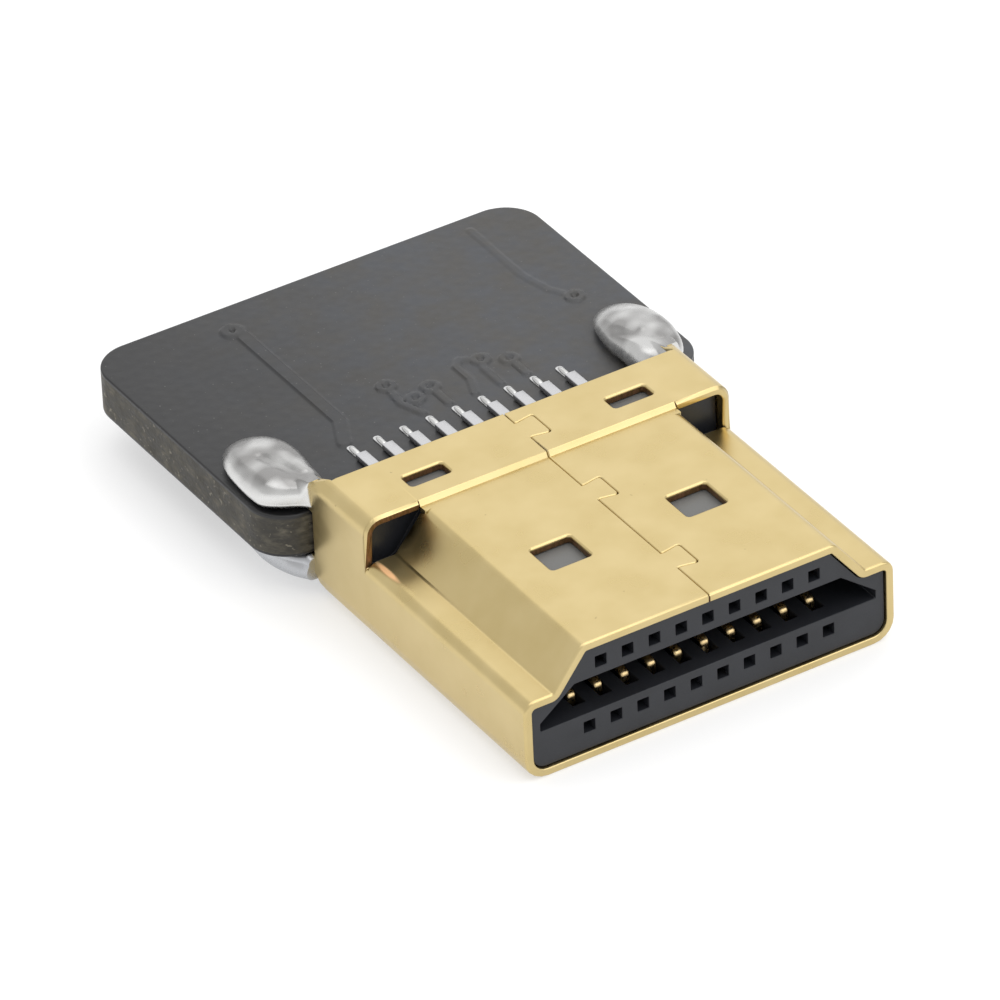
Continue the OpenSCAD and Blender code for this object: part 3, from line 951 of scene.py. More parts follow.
    def _is_outer(self, edge: bmesh.types.BMEdge) -> bool:
        """Whether an edge that goes round the plug lies on the outside of the sheet.

        Args:
            edge: Edge of the shell.

        Returns:
            True if it does.
        """
        place = middle(edge)
        side = min(edge.link_faces, key=lambda face: abs(face.normal.y))
        return side.normal.dot(Vector((place.x, 0.0, place.z - self.middle_z))) > 0

    def _on_seam(self, edge: bmesh.types.BMEdge) -> bool:
        """Whether an edge runs along the seam."""
        place = middle(edge)
        return abs(place.x) < self.seam_reach and place.z > self.roof_inside

    def _on_window(self, edge: bmesh.types.BMEdge) -> bool:
        """Whether an edge goes round a window on the outer face of the roof or floor.

        Args:
            edge: Edge of the shell.

        Returns:
            True if it does.
        """
        place = middle(edge)
        beside = self.window_x[0] < abs(place.x) < self.window_x[1]
        behind = self.window_y[0] < place.y - MOUTH_Y < self.window_y[1]
        outside = place.z < NEAR or place.z > self.roof_inside + self.sheet
        on_flat = max(abs(face.normal.z) for face in edge.link_faces) > self.level
        runs_level = abs(edge.verts[0].co.z - edge.verts[1].co.z) < TINY
        return beside and behind and outside and on_flat and runs_level

    def _in_corner(self, edge: bmesh.types.BMEdge) -> bool:
        """Whether an edge is one of the tiny ones where the step meets a corner opening, which stay sharp.

        Args:
            edge: Edge of the shell.

        Returns:
            True if it is.
        """
        return all(
            self.corner_x[0] < abs(vert.co.x) < self.corner_x[1] and vert.co.z > self.corner_z
            and self.corner_y[0] < vert.co.y - MOUTH_Y < self.corner_y[1]
            for vert in edge.verts
        )

    def _on_arch(self, edge: bmesh.types.BMEdge) -> bool:
        """Whether an edge goes over the front of an arch of the band, on its outside.

        Args:
            edge: Edge of the shell.

        Returns:
            True if it does.
        """
        places = [vert.co for vert in edge.verts]
        ahead = [MOUTH_Y + self.band_start - place.y for place in places]
        on_front = all(-TINY < gap < self.arch_reach + TINY for gap in ahead)
        return on_front and max(place.z for place in places) > self.arch_top and self._is_outer(edge)


@dataclass(frozen=True)
class Insulator:
    """Black moulding with the mating slot and the contact rooms."""

    edge_round: float = 0.02 * MM

    def build(self, plastic: bpy.types.Material) -> bpy.types.Object:
        """Makes the dressed moulding.

        Args:
            plastic: Its plastic.

        Returns:
            The new piece.
        """
        mesh = clean_copy("insulator")
        round_edges(mesh, [EdgeBreak(self.edge_round, 1, any_edge)])
        made = to_mesh(mesh, "moulded_insulator")
        return finish_piece("moulded_insulator", ("insulator",), made, Slot.MOULDING, plastic)


@dataclass(frozen=True)
class Contacts:
    """Both rows of stamped contacts."""

    upper_count: int = 9
    lower_count: int = 10
    nose_length: float = 3.0 * MM
    nose_round: float = 0.08 * MM
    edge_round: float = 0.025 * MM

    def build(self, plate: bpy.types.Material) -> list[bpy.types.Object]:
        """Makes every contact with its stamped edges broken.

        Args:
            plate: Plating of the contacts.

        Returns:
            The new pieces.
        """
        nodes = [f"upper_contact_{i}" for i in range(1, self.upper_count + 1)]
        nodes += [f"lower_contact_{i}" for i in range(1, self.lower_count + 1)]
        return [self._contact(node, plate) for node in nodes]

    def _contact(self, node: str, plate: bpy.types.Material) -> bpy.types.Object:
        """Makes one contact with its edges broken.

        Args:
            node: CAD node of the contact.
            plate: Its plating.

        Returns:
            The new piece.
        """
        mesh = clean_copy(node)
        nose_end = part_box(node)[0].y + self.nose_length
        round_edges(mesh, [
            EdgeBreak(self.nose_round, 3, lambda edge: all(vert.co.y < nose_end for vert in edge.verts)),
            EdgeBreak(self.edge_round, 2, any_edge),
        ])
        return finish_piece(f"formed_{node}", (node,), to_mesh(mesh, node), Slot.CONTACT, plate)


@dataclass(frozen=True)
class Track:
    """A track below the mask: points across and back from the board's front edge, in millimetres."""

    points: tuple[Point, ...]
    width: float
    height: float = 0.055


@dataclass(frozen=True)
class Via:
    """A masked via: its place as for a track, the radii of its ring and hole, in millimetres."""

    x: float
    y: float
    ring: float = 0.36
    hole: float = 0.12


@dataclass(frozen=True)
class Board:
    """Laminate with its solder mask, which runs over the tracks and vias.

    The shoulder of a track and the height of a via's ring are in millimetres, as the tracks are, and the
    dimple of a via is counted in that height.
    """

    corner: float = 1.4 * MM
    corner_steps: int = 16
    edge_round: float = 0.06 * MM
    edge_lines: tuple[float, ...] = (0.0, 0.08, 0.3, 0.6, 1.0)
    skin: float = 0.12 * MM
    step: float = 0.06 * MM
    shoulder: float = 0.06
    ring_height: float = 0.06
    dimple: float = 1.6
    tracks: tuple[Track, ...] = (
        Track(((-3.6, 10.4), (-3.45, 10.05), (-3.45, 3.85), (-4.0, 2.68)), 0.5),
        Track(((-1.17, 4.7), (-1.3, 3.55), (-1.0, 2.68)), 0.28),
        Track(((0.0, 3.85), (0.0, 2.68)), 0.28),
        Track(((1.0, 2.68), (1.3, 3.45), (1.3, 4.35), (1.6, 4.65), (2.2, 4.25)), 0.28),
        Track(((2.2, 4.25), (2.0, 3.75), (2.0, 2.68)), 0.28),
        Track(((3.0, 3.75), (3.0, 2.68)), 0.28),
        Track(((6.75, 5.65), (6.25, 6.55), (6.0, 7.75), (6.05, 11.05)), 0.28, 0.025),
    )
    vias: tuple[Via, ...] = (
        Via(-3.6, 10.4, 0.42, 0.1), Via(-1.17, 4.7), Via(-0.75, 3.55), Via(0.0, 3.85),
        Via(2.2, 4.25), Via(3.0, 3.75), Via(6.75, 5.65),
    )

    def build(self, mask: bpy.types.Material, laminate: bpy.types.Material) -> bpy.types.Object:
        """Makes the board: a rounded slab, with a skin of mask on each face.

        Args:
            mask: Solder mask of both faces.
            laminate: Laminate of the cut edge.

        Returns:
            The new piece.
        """
        low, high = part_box("circuit_board")
        top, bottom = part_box("upper_lands")[0].z, low.z
        mesh = self._slab(low, high, bottom + self.skin, top - self.skin)
        self._cover(mesh, low, high, top, 1, self.tracks)
        self._cover(mesh, low, high, bottom, -1, ())
        made, nodes = to_mesh(mesh, "masked_board"), ("circuit_board", "via_barrels")
        return finish_piece("masked_board", nodes, made, Slot.MASK, mask, laminate)

    def _slab(self, low: Vector, high: Vector, bottom: float, top: float) -> bmesh.types.BMesh:
        """The sawn laminate: a prism over the board's rounded outline.

        Args:
            low: The board's lowest corner.
            high: The board's highest corner.
            bottom: Height of the slab's underside.
            top: Height of its upper side.

        Returns:
            The new mesh, with the laminate's index on its faces.
        """
        mesh = bmesh.new()
        outline = []
        corners = ((high.x, low.y), (high.x, high.y), (low.x, high.y), (low.x, low.y))
        for turn, (x, y) in enumerate(corners):
            centre_x = x - math.copysign(self.corner, x)
            centre_y = y + self.corner if y == low.y else y - self.corner
            for step in range(self.corner_steps + 1):
                angle = math.radians(90 * (turn - 1 + step / self.corner_steps))
                x_part, y_part = self.corner * math.cos(angle), self.corner * math.sin(angle)
                outline.append((centre_x + x_part, centre_y + y_part))
        face = mesh.faces.new([mesh.verts.new((x, y, bottom)) for x, y in outline])
        lifted = bmesh.ops.extrude_face_region(mesh, geom=[face])["geom"]
        rise = [item for item in lifted if isinstance(item, bmesh.types.BMVert)]
        bmesh.ops.translate(mesh, verts=rise, vec=(0.0, 0.0, top - bottom))
        bmesh.ops.recalc_face_normals(mesh, faces=mesh.faces)
        for face in mesh.faces:
            face.material_index = 1
        return mesh

    def _cover(
        self,
        mesh: bmesh.types.BMesh,
        low: Vector,
        high: Vector,
        level: float,
        side: int,
        tracks: tuple[Track, ...],
    ) -> None:
        """Adds the mask of one face as a closed sheet that is raised over tracks and rings.

        Args:
            mesh: Mesh to add to.
            low: The board's lowest corner.
            high: The board's highest corner.
            level: Height of the face.
            side: 1 for the upper face, -1 for the lower one.
            tracks: Tracks that the mask runs over.
        """
        half_x, half_y = high.x, (high.y - low.y) / 2
        v = self._lines(half_y)
        depth = np.maximum(np.abs(v) - half_y + self.corner, 0.0)
        reach = half_x - self.corner + np.sqrt(np.maximum(self.corner**2 - depth**2, 0.0))
        x = self._lines(half_x)[None, :] * (reach[:, None] / half_x)
        v = np.repeat(v[:, None], x.shape[1], axis=1)
        lift = self._heights(x / MM, (v + half_y) / MM, tracks) * MM
        past_x = np.maximum(np.abs(x) - half_x + self.corner, 0.0)
        past_y = np.maximum(np.abs(v) - half_y + self.corner, 0.0)
        inside = self.corner - np.hypot(past_x, past_y)
        edge = self.edge_round
        fall = edge - np.sqrt(np.maximum(edge**2 - np.maximum(edge - inside, 0.0) ** 2, 0.0))
        y = v + (low.y + high.y) / 2
        self._sheet(mesh, x, y, level + side * (lift - fall), level - side * self.skin, side)

    def _lines(self, half: float) -> np.ndarray:
        """Grid lines across the board, set closer beside its rounded edges.

        Args:
            half: Half of the board's size along the axis.

        Returns:
            Places from -half to half.
        """
        edge = half - self.edge_round * np.array(self.edge_lines)
        plain = np.linspace(0.0, edge[-1], round(edge[-1] / self.step) + 1)[1:-1]
        return np.concatenate([-edge, -plain[::-1], [0.0], plain, edge[::-1]])

    def _sheet(
        self, mesh: bmesh.types.BMesh, x: np.ndarray, y: np.ndarray, z: np.ndarray, base: float, side: int
    ) -> None:
        """Adds a grid of points as a closed sheet with a flat base.

        Args:
            mesh: Mesh to add to.
            x: Places across, one row for each line.
            y: Places along.
            z: Heights.
            base: Height of the flat base.
            side: 1 where the grid faces up, -1 where it faces down.
        """
        number = np.arange(x.size).reshape(x.shape)
        rim = np.concatenate([number[0, :-1], number[:-1, -1], number[-1, :0:-1], number[:0:-1, 0]])
        top = [mesh.verts.new(point) for point in np.stack([x, y, z], axis=-1).reshape(-1, 3)]
        under = [mesh.verts.new((top[i].co.x, top[i].co.y, base)) for i in rim]
        quads = np.stack([number[:-1, :-1], number[:-1, 1:], number[1:, 1:], number[1:, :-1]], axis=-1)
        for quad in quads.reshape(-1, 4):
            mesh.faces.new([top[i] for i in quad[::side]])
        for i, (a, b) in enumerate(zip(rim, np.roll(rim, -1))):
            mesh.faces.new([top[b], top[a], under[i], under[(i + 1) % len(under)]][::side])
        mesh.faces.new(under[::-side])

    def _heights(self, x: np.ndarray, y: np.ndarray, tracks: tuple[Track, ...]) -> np.ndarray:
        """Height of the mask over its plain level, in millimetres.

        Args:
            x: Places across the board, in millimetres.
            y: Places back from its front edge, in millimetres.
            tracks: Tracks below the mask.

        Returns:
            The heights, in the shape of x.
        """
        lift = np.zeros_like(x)
        for track in tracks:
            distance = np.full_like(x, np.inf)
            for (ax, ay), (bx, by) in zip(track.points, track.points[1:]):
                run_x, run_y = bx - ax, by - ay
                share = ((x - ax) * run_x + (y - ay) * run_y) / (run_x**2 + run_y**2)
                share = np.clip(share, 0.0, 1.0)
                distance = np.minimum(distance, np.hypot(x - ax - share * run_x, y - ay - share * run_y))
            lift = np.maximum(lift, track.height * self._within(track.width / 2, distance))
        for via in self.vias:
            distance = np.hypot(x - via.x, y - via.y)
            lift = np.maximum(lift, self.ring_height * self._within(via.ring, distance))
            lift -= self.dimple * self.ring_height * self._within(via.hole, distance)
        return lift

    def _within(self, reach: float, distance: np.ndarray) -> np.ndarray:
        """Smooth step from 1 within the reach to 0 beyond it, over the shoulder's width."""
        return fade(reach - distance, -self.shoulder / 2, self.shoulder / 2)


@dataclass(frozen=True)
class Lands:
    """Tinned copper lands of both faces; those past leg_start lie under the legs."""

    leg_start: float = 5.25 * MM
    leg_x: float = 6.99 * MM
    leg_y: float = 2.77 * MM
    covered: float = 0.85
    corner_round: float = 0.11 * MM

    def build(self, tin: bpy.types.Material) -> list[bpy.types.Object]:
        """Makes the lands of both faces, those under the legs drawn in below their heaps.

        Args:
            tin: Their tinning.

        Returns:
            The new pieces.
        """
        pieces = []
        for node in ("upper_lands", "lower_lands"):
            mesh = clean_copy(node)
            for vert in mesh.verts:
                if abs(vert.co.x) > self.leg_start:
                    centre = Vector((math.copysign(self.leg_x, vert.co.x), self.leg_y, vert.co.z))
                    vert.co = centre.lerp(vert.co, self.covered)
            round_edges(mesh, [
                EdgeBreak(self.corner_round, 3, self._on_lead_corner),
                EdgeBreak(0.0, 0, any_edge),
            ])
            pieces.append(finish_piece(f"tinned_{node}", (node,), to_mesh(mesh, node), Slot.COPPER, tin))
        return pieces

    def _on_lead_corner(self, edge: bmesh.types.BMEdge) -> bool:
        """Whether an edge stands upright at a corner of a land under a foot."""
        start, end = (vert.co for vert in edge.verts)
        return abs(start.x) < self.leg_start and (start - end).xy.length < TINY


@dataclass(frozen=True)
class Fold:
    """A ridge or crease along a line on a heap, in millimetres across, back from the mouth and up."""

    start: Place
    end: Place
    width: float
    lift: float


def closed_curve(points: tuple[Point, ...], count: int) -> np.ndarray:
    """Places on a smooth closed curve through some points.

    Args:
        points: Points of the curve, in order.
        count: Number of places.

    Returns:
        One row for each place.
    """
    knots = np.array(points)
    share, start = np.modf(np.arange(count) * len(knots) / count)
    a, b, c, d = (knots[(start.astype(int) + i) % len(knots)] for i in (-1, 0, 1, 2))
    t = share[:, None]
    return b + 0.5 * t * (c - a + t * (2 * a - 5 * b + 4 * c - d + t * (3 * (b - c) + d - a)))


@dataclass(frozen=True)
class LegSolder:
    """Heap of solder that ran round a leg of the shell, with its sizes in millimetres.

    The outline gives places across the plug and back from its mouth. The leg is given by its distance from
    the middle plane, and the place and height of each end of the edge that the solder covers. On the leg's
    inner side the heap may reach further forward than the cheek.

    It is a dome over its outline. Undercut is the angle below its widest ring, tuck how far its foot is
    drawn in, fullness the power of its profile, lean its shift forward at the top, and fall how much lower
    it is at the back. Overhang is how far it may bulge past its CAD solid.

    Cover is the least depth of solder on the leg's edge. It sets in over cover_x from the leg,
    over cover_y from the edge's rear end, and over cover_rise of the edge's height.
    """

    node: str
    outline: tuple[Point, ...]
    folds: tuple[Fold, ...]
    leg_edge: tuple[Point, Point]
    leg_x: float = 6.8
    leg_half: float = 0.18
    forward: float = 0.3
    upward: int = 1
    around: int = 256
    rings: int = 88
    undercut: float = 0.45
    tuck: float = 0.17
    fullness: float = 0.45
    lean: float = 0.35
    fall: float = 0.35
    overhang: float = 0.1
    cover: float = 0.03
    cover_x: Range = (0.45, 0.2)
    cover_y: Range = (0.35, 0.05)
    cover_rise: Range = (0.3, 0.6)

    def build(self, solder: bpy.types.Material) -> bpy.types.Object:
        """Makes the heap, no more than the overhang past its CAD solid.

        Args:
            solder: Its material.

        Returns:
            The new piece.
        """
        mouth = np.array((0.0, MOUTH_Y / MM, 0.0))
        low, high = (np.array(corner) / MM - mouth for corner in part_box(self.node))
        foot, top = (low[2], high[2]) if self.upward > 0 else (high[2], low[2])
        points = self._limited(self._folded(self._raised(foot, top)), low, high)
        points[..., 2] = self._covered(points, foot)
        made = to_mesh(closed_rings((points + mouth) * MM), self.node)
        return finish_piece(f"reflowed_{self.node}", (self.node,), made, Slot.SOLDER, solder)

    def _raised(self, foot: float, top: float) -> np.ndarray:
        """The plain heap: a full dome over the outline, drawn in at its foot and higher in front.

        Args:
            foot: Height of the board's face.
            top: Height of the dome's top.

        Returns:
            Points, one row of them for each ring from the foot to the top.
        """
        rim = closed_curve(self.outline, self.around)
        centre = rim.mean(axis=0)
        lift = np.linspace(-self.undercut, math.pi / 2, self.rings)[:, None]
        tucked = 1.0 - self.tuck * (lift / self.undercut) ** 2
        reach = np.where(lift < 0, tucked, np.maximum(np.cos(lift), 0.0) ** self.fullness)
        rise = (np.sin(lift) + math.sin(self.undercut)) / (1 + math.sin(self.undercut))
        lean = np.maximum(np.sin(lift), 0.0)[:, :, None] * np.array((0.0, -self.lean))
        plan = centre + reach[:, :, None] * (rim - centre) + lean
        back = np.clip((plan[:, :, 1] - rim[:, 1].min()) / np.ptp(rim[:, 1]), 0.0, 1.0)
        return np.dstack([plan, foot + (top - foot) * rise * (1.0 - self.fall * back**2)])

    def _folded(self, points: np.ndarray) -> np.ndarray:
        """Lifts points of the heap at ridges and sinks them at creases.

        Args:
            points: Points of the heap, which are changed.

        Returns:
            The same points.
        """
        for fold in self.folds:
            start, run = np.array(fold.start), np.array(fold.end) - fold.start
            share = np.clip((points - start) @ run / (run @ run), 0.0, 1.0)
            distance = np.linalg.norm(points - start - share[..., None] * run, axis=2)
            points[..., 2] += self.upward * fold.lift * np.exp(-((distance / fold.width) ** 2))
        return points

    def _limited(self, points: np.ndarray, low: np.ndarray, high: np.ndarray) -> np.ndarray:
        """Keeps the heap near its CAD solid, and behind the cheek on the leg's outer side.

        Args:
            points: Points of the heap, which are changed.
            low: The solid's lowest corner.
            high: The solid's highest corner.

        Returns:
            The same points.
        """
        cheek = self.leg_edge[0][0]
        outside = np.abs(points[..., 0]) > self.leg_x - self.leg_half
        front = np.where(outside, cheek, cheek - self.forward)
        points[..., 0] = np.clip(points[..., 0], low[0] - self.overhang, high[0] + self.overhang)
        points[..., 1] = np.clip(points[..., 1], front, high[1] + self.overhang)
        return points

    def _covered(self, points: np.ndarray, foot: float) -> np.ndarray:
        """Heights of the points, raised over the leg and never below the board's face.

        Args:
            points: Points of the heap.
            foot: Height of the board's face.

        Returns:
            Their new heights.
        """
        (front_y, front_z), (rear_y, rear_z) = self.leg_edge
        edge_z = np.interp(points[..., 1], (front_y, rear_y), (front_z, rear_z))
        edge = self.upward * (edge_z - foot) + self.cover
        height = np.maximum(self.upward * (points[..., 2] - foot), 0.0)
        beside = fade(np.abs(np.abs(points[..., 0]) - self.leg_x), *self.cover_x)
        beside *= fade(points[..., 1] - rear_y, *self.cover_y)
        height += np.maximum(edge - height, 0.0) * beside * fade(height / edge, *self.cover_rise)
        return foot + self.upward * height


@dataclass(frozen=True)
class LeadSolder:
    """Row of solder fillets, one round each foot, repeated by geometry nodes.

    Corners is the power that makes a fillet's plan rounder or squarer, taper how much narrower it is at
    its rear, fall how much lower it is there, and least the smallest scale of one along each axis.
    """

    node: str
    count: int
    pitch: float = 1.0 * MM
    upward: int = 1
    around: int = 40
    rings: int = 12
    corners: float = 0.8
    taper: float = 0.25
    fall: float = 0.35
    least: Factors = (0.88, 0.92, 0.9)
    seed: int = 4

    def build(self, solder: bpy.types.Material) -> bpy.types.Object:
        """Makes the row of fillets.

        Args:
            solder: Its material.

        Returns:
            The new piece.
        """
        low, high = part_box(self.node)
        width = high.x - low.x - (self.count - 1) * self.pitch
        rings = self._fillet(width, high.y - low.y, high.z - low.z)
        row = bpy.data.objects.new(self.node, to_mesh(closed_rings(rings), self.node))
        bpy.context.scene.collection.objects.link(row)
        foot = low.z if self.upward > 0 else high.z
        self._repeat(row, Vector((low.x + width / 2, (low.y + high.y) / 2, foot)), solder)
        bake_modifiers(row)
        made = row.data
        bpy.data.objects.remove(row)
        return finish_piece(f"wetted_{self.node}", (self.node,), made, Slot.SOLDER, solder)

    def _fillet(self, width: float, length: float, height: float) -> np.ndarray:
        """One run of solder about the origin: a ridge that tapers away from the foot.

        Args:
            width: Its width.
            length: Its length.
            height: Its height.

        Returns:
            Points, one row of them for each ring from its foot to its top.
        """
        lift = 0.5 * math.pi * np.arange(self.rings + 1)[:, None] / self.rings
        angle = 2 * math.pi * np.arange(self.around) / self.around
        x, y = (np.copysign(np.abs(part) ** self.corners, part) for part in (np.cos(angle), np.sin(angle)))
        reach = np.cos(lift)
        behind = np.maximum(y, 0.0)
        across = 0.5 * width * reach * x * (1 - self.taper * behind)
        rise = np.sin(lift) * (1 - self.fall * (behind * reach) ** 2)
        return np.dstack([across, 0.5 * length * reach * y, self.upward * height * rise])

    def _repeat(self, row: bpy.types.Object, start: Vector, solder: bpy.types.Material) -> None:
        """Adds the node tree that sets one fillet on each foot, a little unlike its neighbours.

        Args:
            row: Object whose mesh is one fillet.
            start: Place of the first fillet.
            solder: Material of the row.
        """
        tree = bpy.data.node_groups.new("fillet_row", "GeometryNodeTree")
        face, nodes = tree.interface, tree.nodes
        face.new_socket("Geometry", in_out="INPUT", socket_type="NodeSocketGeometry")
        sizes = {
            name: face.new_socket(name, in_out="INPUT", socket_type=f"NodeSocket{kind}").identifier
            for name, kind in (("Count", "Int"), ("Start", "Vector"), ("Step", "Vector"), ("Seed", "Int"))
        }
        face.new_socket("Geometry", in_out="OUTPUT", socket_type="NodeSocketGeometry")
        entry, leave = nodes.new("NodeGroupInput"), nodes.new("NodeGroupOutput")
        line = nodes.new("GeometryNodeMeshLine")
        scatter = nodes.new("GeometryNodeInstanceOnPoints")
        vary = nodes.new("FunctionNodeRandomValue")
        vary.data_type = "FLOAT_VECTOR"
        vary.inputs["Min"].default_value = self.least
        vary.inputs["Max"].default_value = (1.0, 1.0, 1.0)
        real = nodes.new("GeometryNodeRealizeInstances")
        dress = nodes.new("GeometryNodeSetMaterial")
        dress.inputs["Material"].default_value = solder
        for source, output, target, socket in (
            (entry, "Count", line, "Count"),
            (entry, "Start", line, "Start Location"),
            (entry, "Step", line, "Offset"),
            (entry, "Seed", vary, "Seed"),
            (line, "Mesh", scatter, "Points"),
            (entry, "Geometry", scatter, "Instance"),
            (vary, "Value", scatter, "Scale"),
            (scatter, "Instances", real, "Geometry"),
            (real, "Geometry", dress, "Geometry"),
            (dress, "Geometry", leave, "Geometry"),
        ):
            tree.links.new(source.outputs[output], target.inputs[socket])
        modifier = row.modifiers.new("row", "NODES")
        modifier.node_group = tree
        modifier[sizes["Count"]] = self.count
        modifier[sizes["Start"]] = tuple(start)
        modifier[sizes["Step"]] = (self.pitch, 0.0, 0.0)
        modifier[sizes["Seed"]] = self.seed


# Studio


@dataclass(frozen=True)
class SoftLight:
    """A square soft light that points at the part."""

    name: str
    place: Place
    size: float
    power: float
    colour: Colour = (1.0, 1.0, 1.0)

    def build(self) -> None:
        """Makes the light."""
        data = bpy.data.lights.new(self.name, "AREA")
        data.size = self.size
        data.energy = self.power
        data.color = self.colour
        light = bpy.data.objects.new(self.name, data)
        light.location = self.place
        light.rotation_euler = (-Vector(self.place)).to_track_quat("-Z", "Y").to_euler()
        bpy.context.scene.collection.objects.link(light)


@dataclass(frozen=True)
class Studio:
    """Pale glowing table, soft light, and the camera of the reference view with its turn in degrees."""

    camera_place: Place = (-0.132903, -0.223360, 0.179595)
    camera_turn: tuple[float, float, float] = (55.4951, 2.1298, -32.1917)
    lens: float = 350.16
    sensor: float = 36.0
    near: float = 0.01
    floor_size: float = 4.0
    floor_colour: Colour = (0.5, 0.5, 0.5)
    floor_glow: float = 0.5
    floor_roughness: float = 0.9
    floor_gloss: float = 0.1
    sky: float = 0.85
    lights: tuple[SoftLight, ...] = (
        SoftLight("overhead", (0.05, 0.0, 0.7), 0.8, 2.0),
        SoftLight("back_right", (0.45, 0.75, 0.6), 1.0, 1.2),
        SoftLight("front", (0.34, -0.48, 0.5), 0.75, 1.9),
    )

    def build(self) -> None:
        """Makes the floor, the sky, the lights and the camera."""
        self._floor()
        self._sky()
        for light in self.lights:
            light.build()
        self._camera()

    def _floor(self) -> None:
        """Adds the floor just under the part."""
        mesh = bpy.data.meshes.new("floor")
        half = self.floor_size / 2
        corners = [(x * half, y * half, 0) for x, y in ((-1, -1), (1, -1), (1, 1), (-1, 1))]
        mesh.from_pydata(corners, [], [range(4)])
        floor = bpy.data.objects.new("floor", mesh)
        bpy.context.scene.collection.objects.link(floor)
        graph = Graph("floor")
        graph.set(base_color=self.floor_colour)
        graph.set(roughness=self.floor_roughness, specular_ior_level=self.floor_gloss)
        graph.set(emission_color=(1.0, 1.0, 1.0), emission_strength=self.floor_glow)
        mesh.materials.append(graph.material)

    def _sky(self) -> None:
        """Lights the whole scene evenly from all sides."""
        world = bpy.data.worlds.new("studio")
        world.use_nodes = True
        background = world.node_tree.nodes["Background"]
        background.inputs["Color"].default_value = (1.0, 1.0, 1.0, 1.0)
        background.inputs["Strength"].default_value = self.sky
        scene = bpy.context.scene
        scene.world = world
        scene.view_settings.view_transform = "Standard"

    def _camera(self) -> None:
        """Adds the camera at the reference view."""
        data = bpy.data.cameras.new("camera")
        data.lens = self.lens
        data.sensor_width = self.sensor
        data.clip_start = self.near
        camera = bpy.data.objects.new("camera", data)
        camera.location = self.camera_place
        camera.rotation_euler = Euler([math.radians(angle) for angle in self.camera_turn], "XYZ")
        bpy.context.scene.collection.objects.link(camera)
        bpy.context.scene.camera = camera


# Heaps of solder on the legs: outlines, covered edges of a leg, and folds, in millimetres
LEFT_OUTLINE = (
    (-6.65, 12.5), (-6.2, 13.1), (-6.05, 14.1), (-5.92, 14.9), (-5.88, 15.7), (-6.0, 16.4), (-6.35, 17.0),
    (-6.9, 17.25), (-7.5, 17.1), (-7.95, 16.6), (-8.2, 15.9), (-8.3, 15.0), (-8.32, 14.2), (-8.24, 13.7),
    (-7.85, 13.28), (-7.2, 12.88),
)
RIGHT_OUTLINE = (
    (6.4, 12.4), (7.1, 12.7), (7.6, 13.25), (7.9, 14.2), (8.0, 15.1), (7.95, 16.0), (7.7, 16.7),
    (7.3, 17.05), (6.75, 17.0), (6.22, 16.55), (5.92, 15.85), (5.78, 15.0), (5.74, 14.2), (5.8, 13.2),
)
LOWER_OUTLINE = (
    (6.5, 12.6), (6.1, 13.0), (5.9, 13.9), (5.85, 14.9), (6.0, 15.9), (6.4, 16.7), (6.95, 16.95), (7.5, 16.7),
    (7.85, 16.0), (8.05, 15.1), (7.95, 14.3), (7.65, 13.5), (7.3, 12.95), (7.05, 12.6),
)
LOWER_LEFT_OUTLINE = tuple((-x, y) for x, y in LOWER_OUTLINE)
UPPER_LEG_EDGE = ((12.7, 4.34), (16.1, 3.69))
LOWER_LEG_EDGE = ((12.7, 0.79), (16.1, 1.14))
UPPER_LEFT_FOLDS = (
    Fold((-6.95, 13.4, 4.2), (-7.3, 15.2, 4.2), 0.22, -0.09),
    Fold((-6.6, 13.6, 4.25), (-6.7, 15.0, 4.2), 0.25, 0.05),
    Fold((-7.85, 13.4, 3.8), (-7.3, 13.25, 3.9), 0.1, -0.13),
    Fold((-7.8, 14.7, 4.0), (-7.7, 15.3, 4.1), 0.5, -0.05),
)
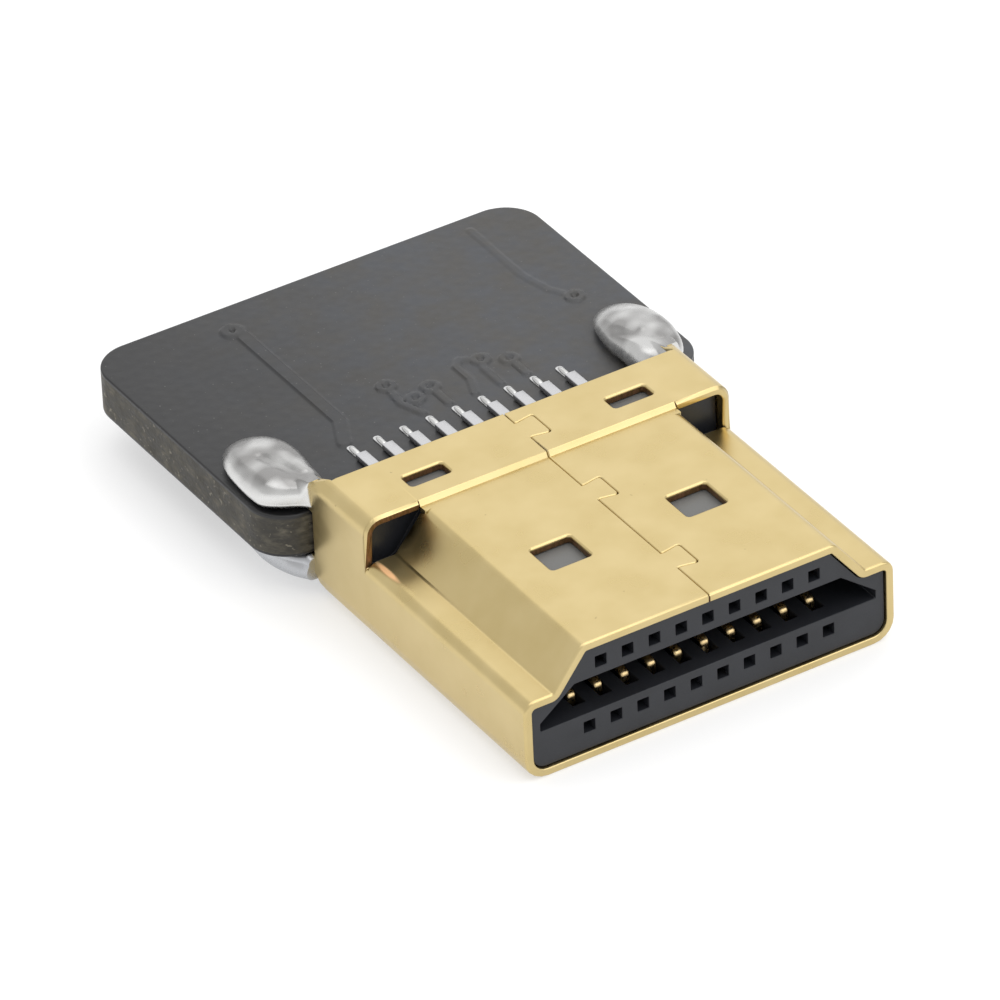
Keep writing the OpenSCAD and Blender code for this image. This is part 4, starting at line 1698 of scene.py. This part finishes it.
UPPER_RIGHT_FOLDS = (
    Fold((6.55, 13.3, 4.2), (6.0, 14.9, 4.0), 0.2, -0.08),
    Fold((6.66, 14.23, 4.2), (6.7, 14.3, 4.2), 0.14, 0.05),
    Fold((6.95, 13.4, 4.2), (7.05, 15.6, 4.1), 0.3, 0.05),
)
LOWER_FOLDS = (Fold((7.3, 13.4, 0.7), (7.2, 15.4, 0.8), 0.3, -0.04),)
HANGING = {"upward": -1, "fullness": 0.35, "lean": 0.6, "fall": 0.6}
UPPER_HEAPS = (
    LegSolder("upper_left_solder", LEFT_OUTLINE, UPPER_LEFT_FOLDS, UPPER_LEG_EDGE),
    LegSolder(
        "upper_right_solder", RIGHT_OUTLINE, UPPER_RIGHT_FOLDS, UPPER_LEG_EDGE, fullness=0.55, fall=0.5
    ),
)
LOWER_HEAPS = (
    LegSolder("lower_left_solder", LOWER_LEFT_OUTLINE, LOWER_FOLDS, LOWER_LEG_EDGE, **HANGING),
    LegSolder("lower_right_solder", LOWER_OUTLINE, LOWER_FOLDS, LOWER_LEG_EDGE, **HANGING),
)


def main() -> None:
    """Builds every piece in order and reports it."""
    logging.basicConfig(level=logging.INFO, format="%(name)s: %(message)s")
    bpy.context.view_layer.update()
    solder, tin = Solder().build(), Tin().build()
    pieces = [
        Shell().build(GoldPlate().build(), ShearedEdge().build()),
        Insulator().build(Moulding().build()),
        *Contacts().build(ContactPlate().build()),
        Board().build(SolderMask().build(), Laminate().build()),
        *Lands().build(tin),
        *(heap.build(solder) for heap in UPPER_HEAPS),
    ]
    # darker copy of the solder: painted shade on the heaps that hang under the board
    shaded_solder = Solder(bright=(0.47, 0.48, 0.50)).build()
    pieces += [heap.build(shaded_solder) for heap in LOWER_HEAPS]
    clean = Solder(dull=(0.5, 0.5, 0.49), flux=0.5).build()
    pieces.append(LeadSolder("upper_lead_solder", 9).build(clean))
    pieces.append(LeadSolder("lower_lead_solder", 10, upward=-1).build(clean))
    for piece in pieces:
        log.info("%s: %d faces", piece.name, len(piece.data.polygons))
    Studio().build()


if __name__ == "__main__":
    main()
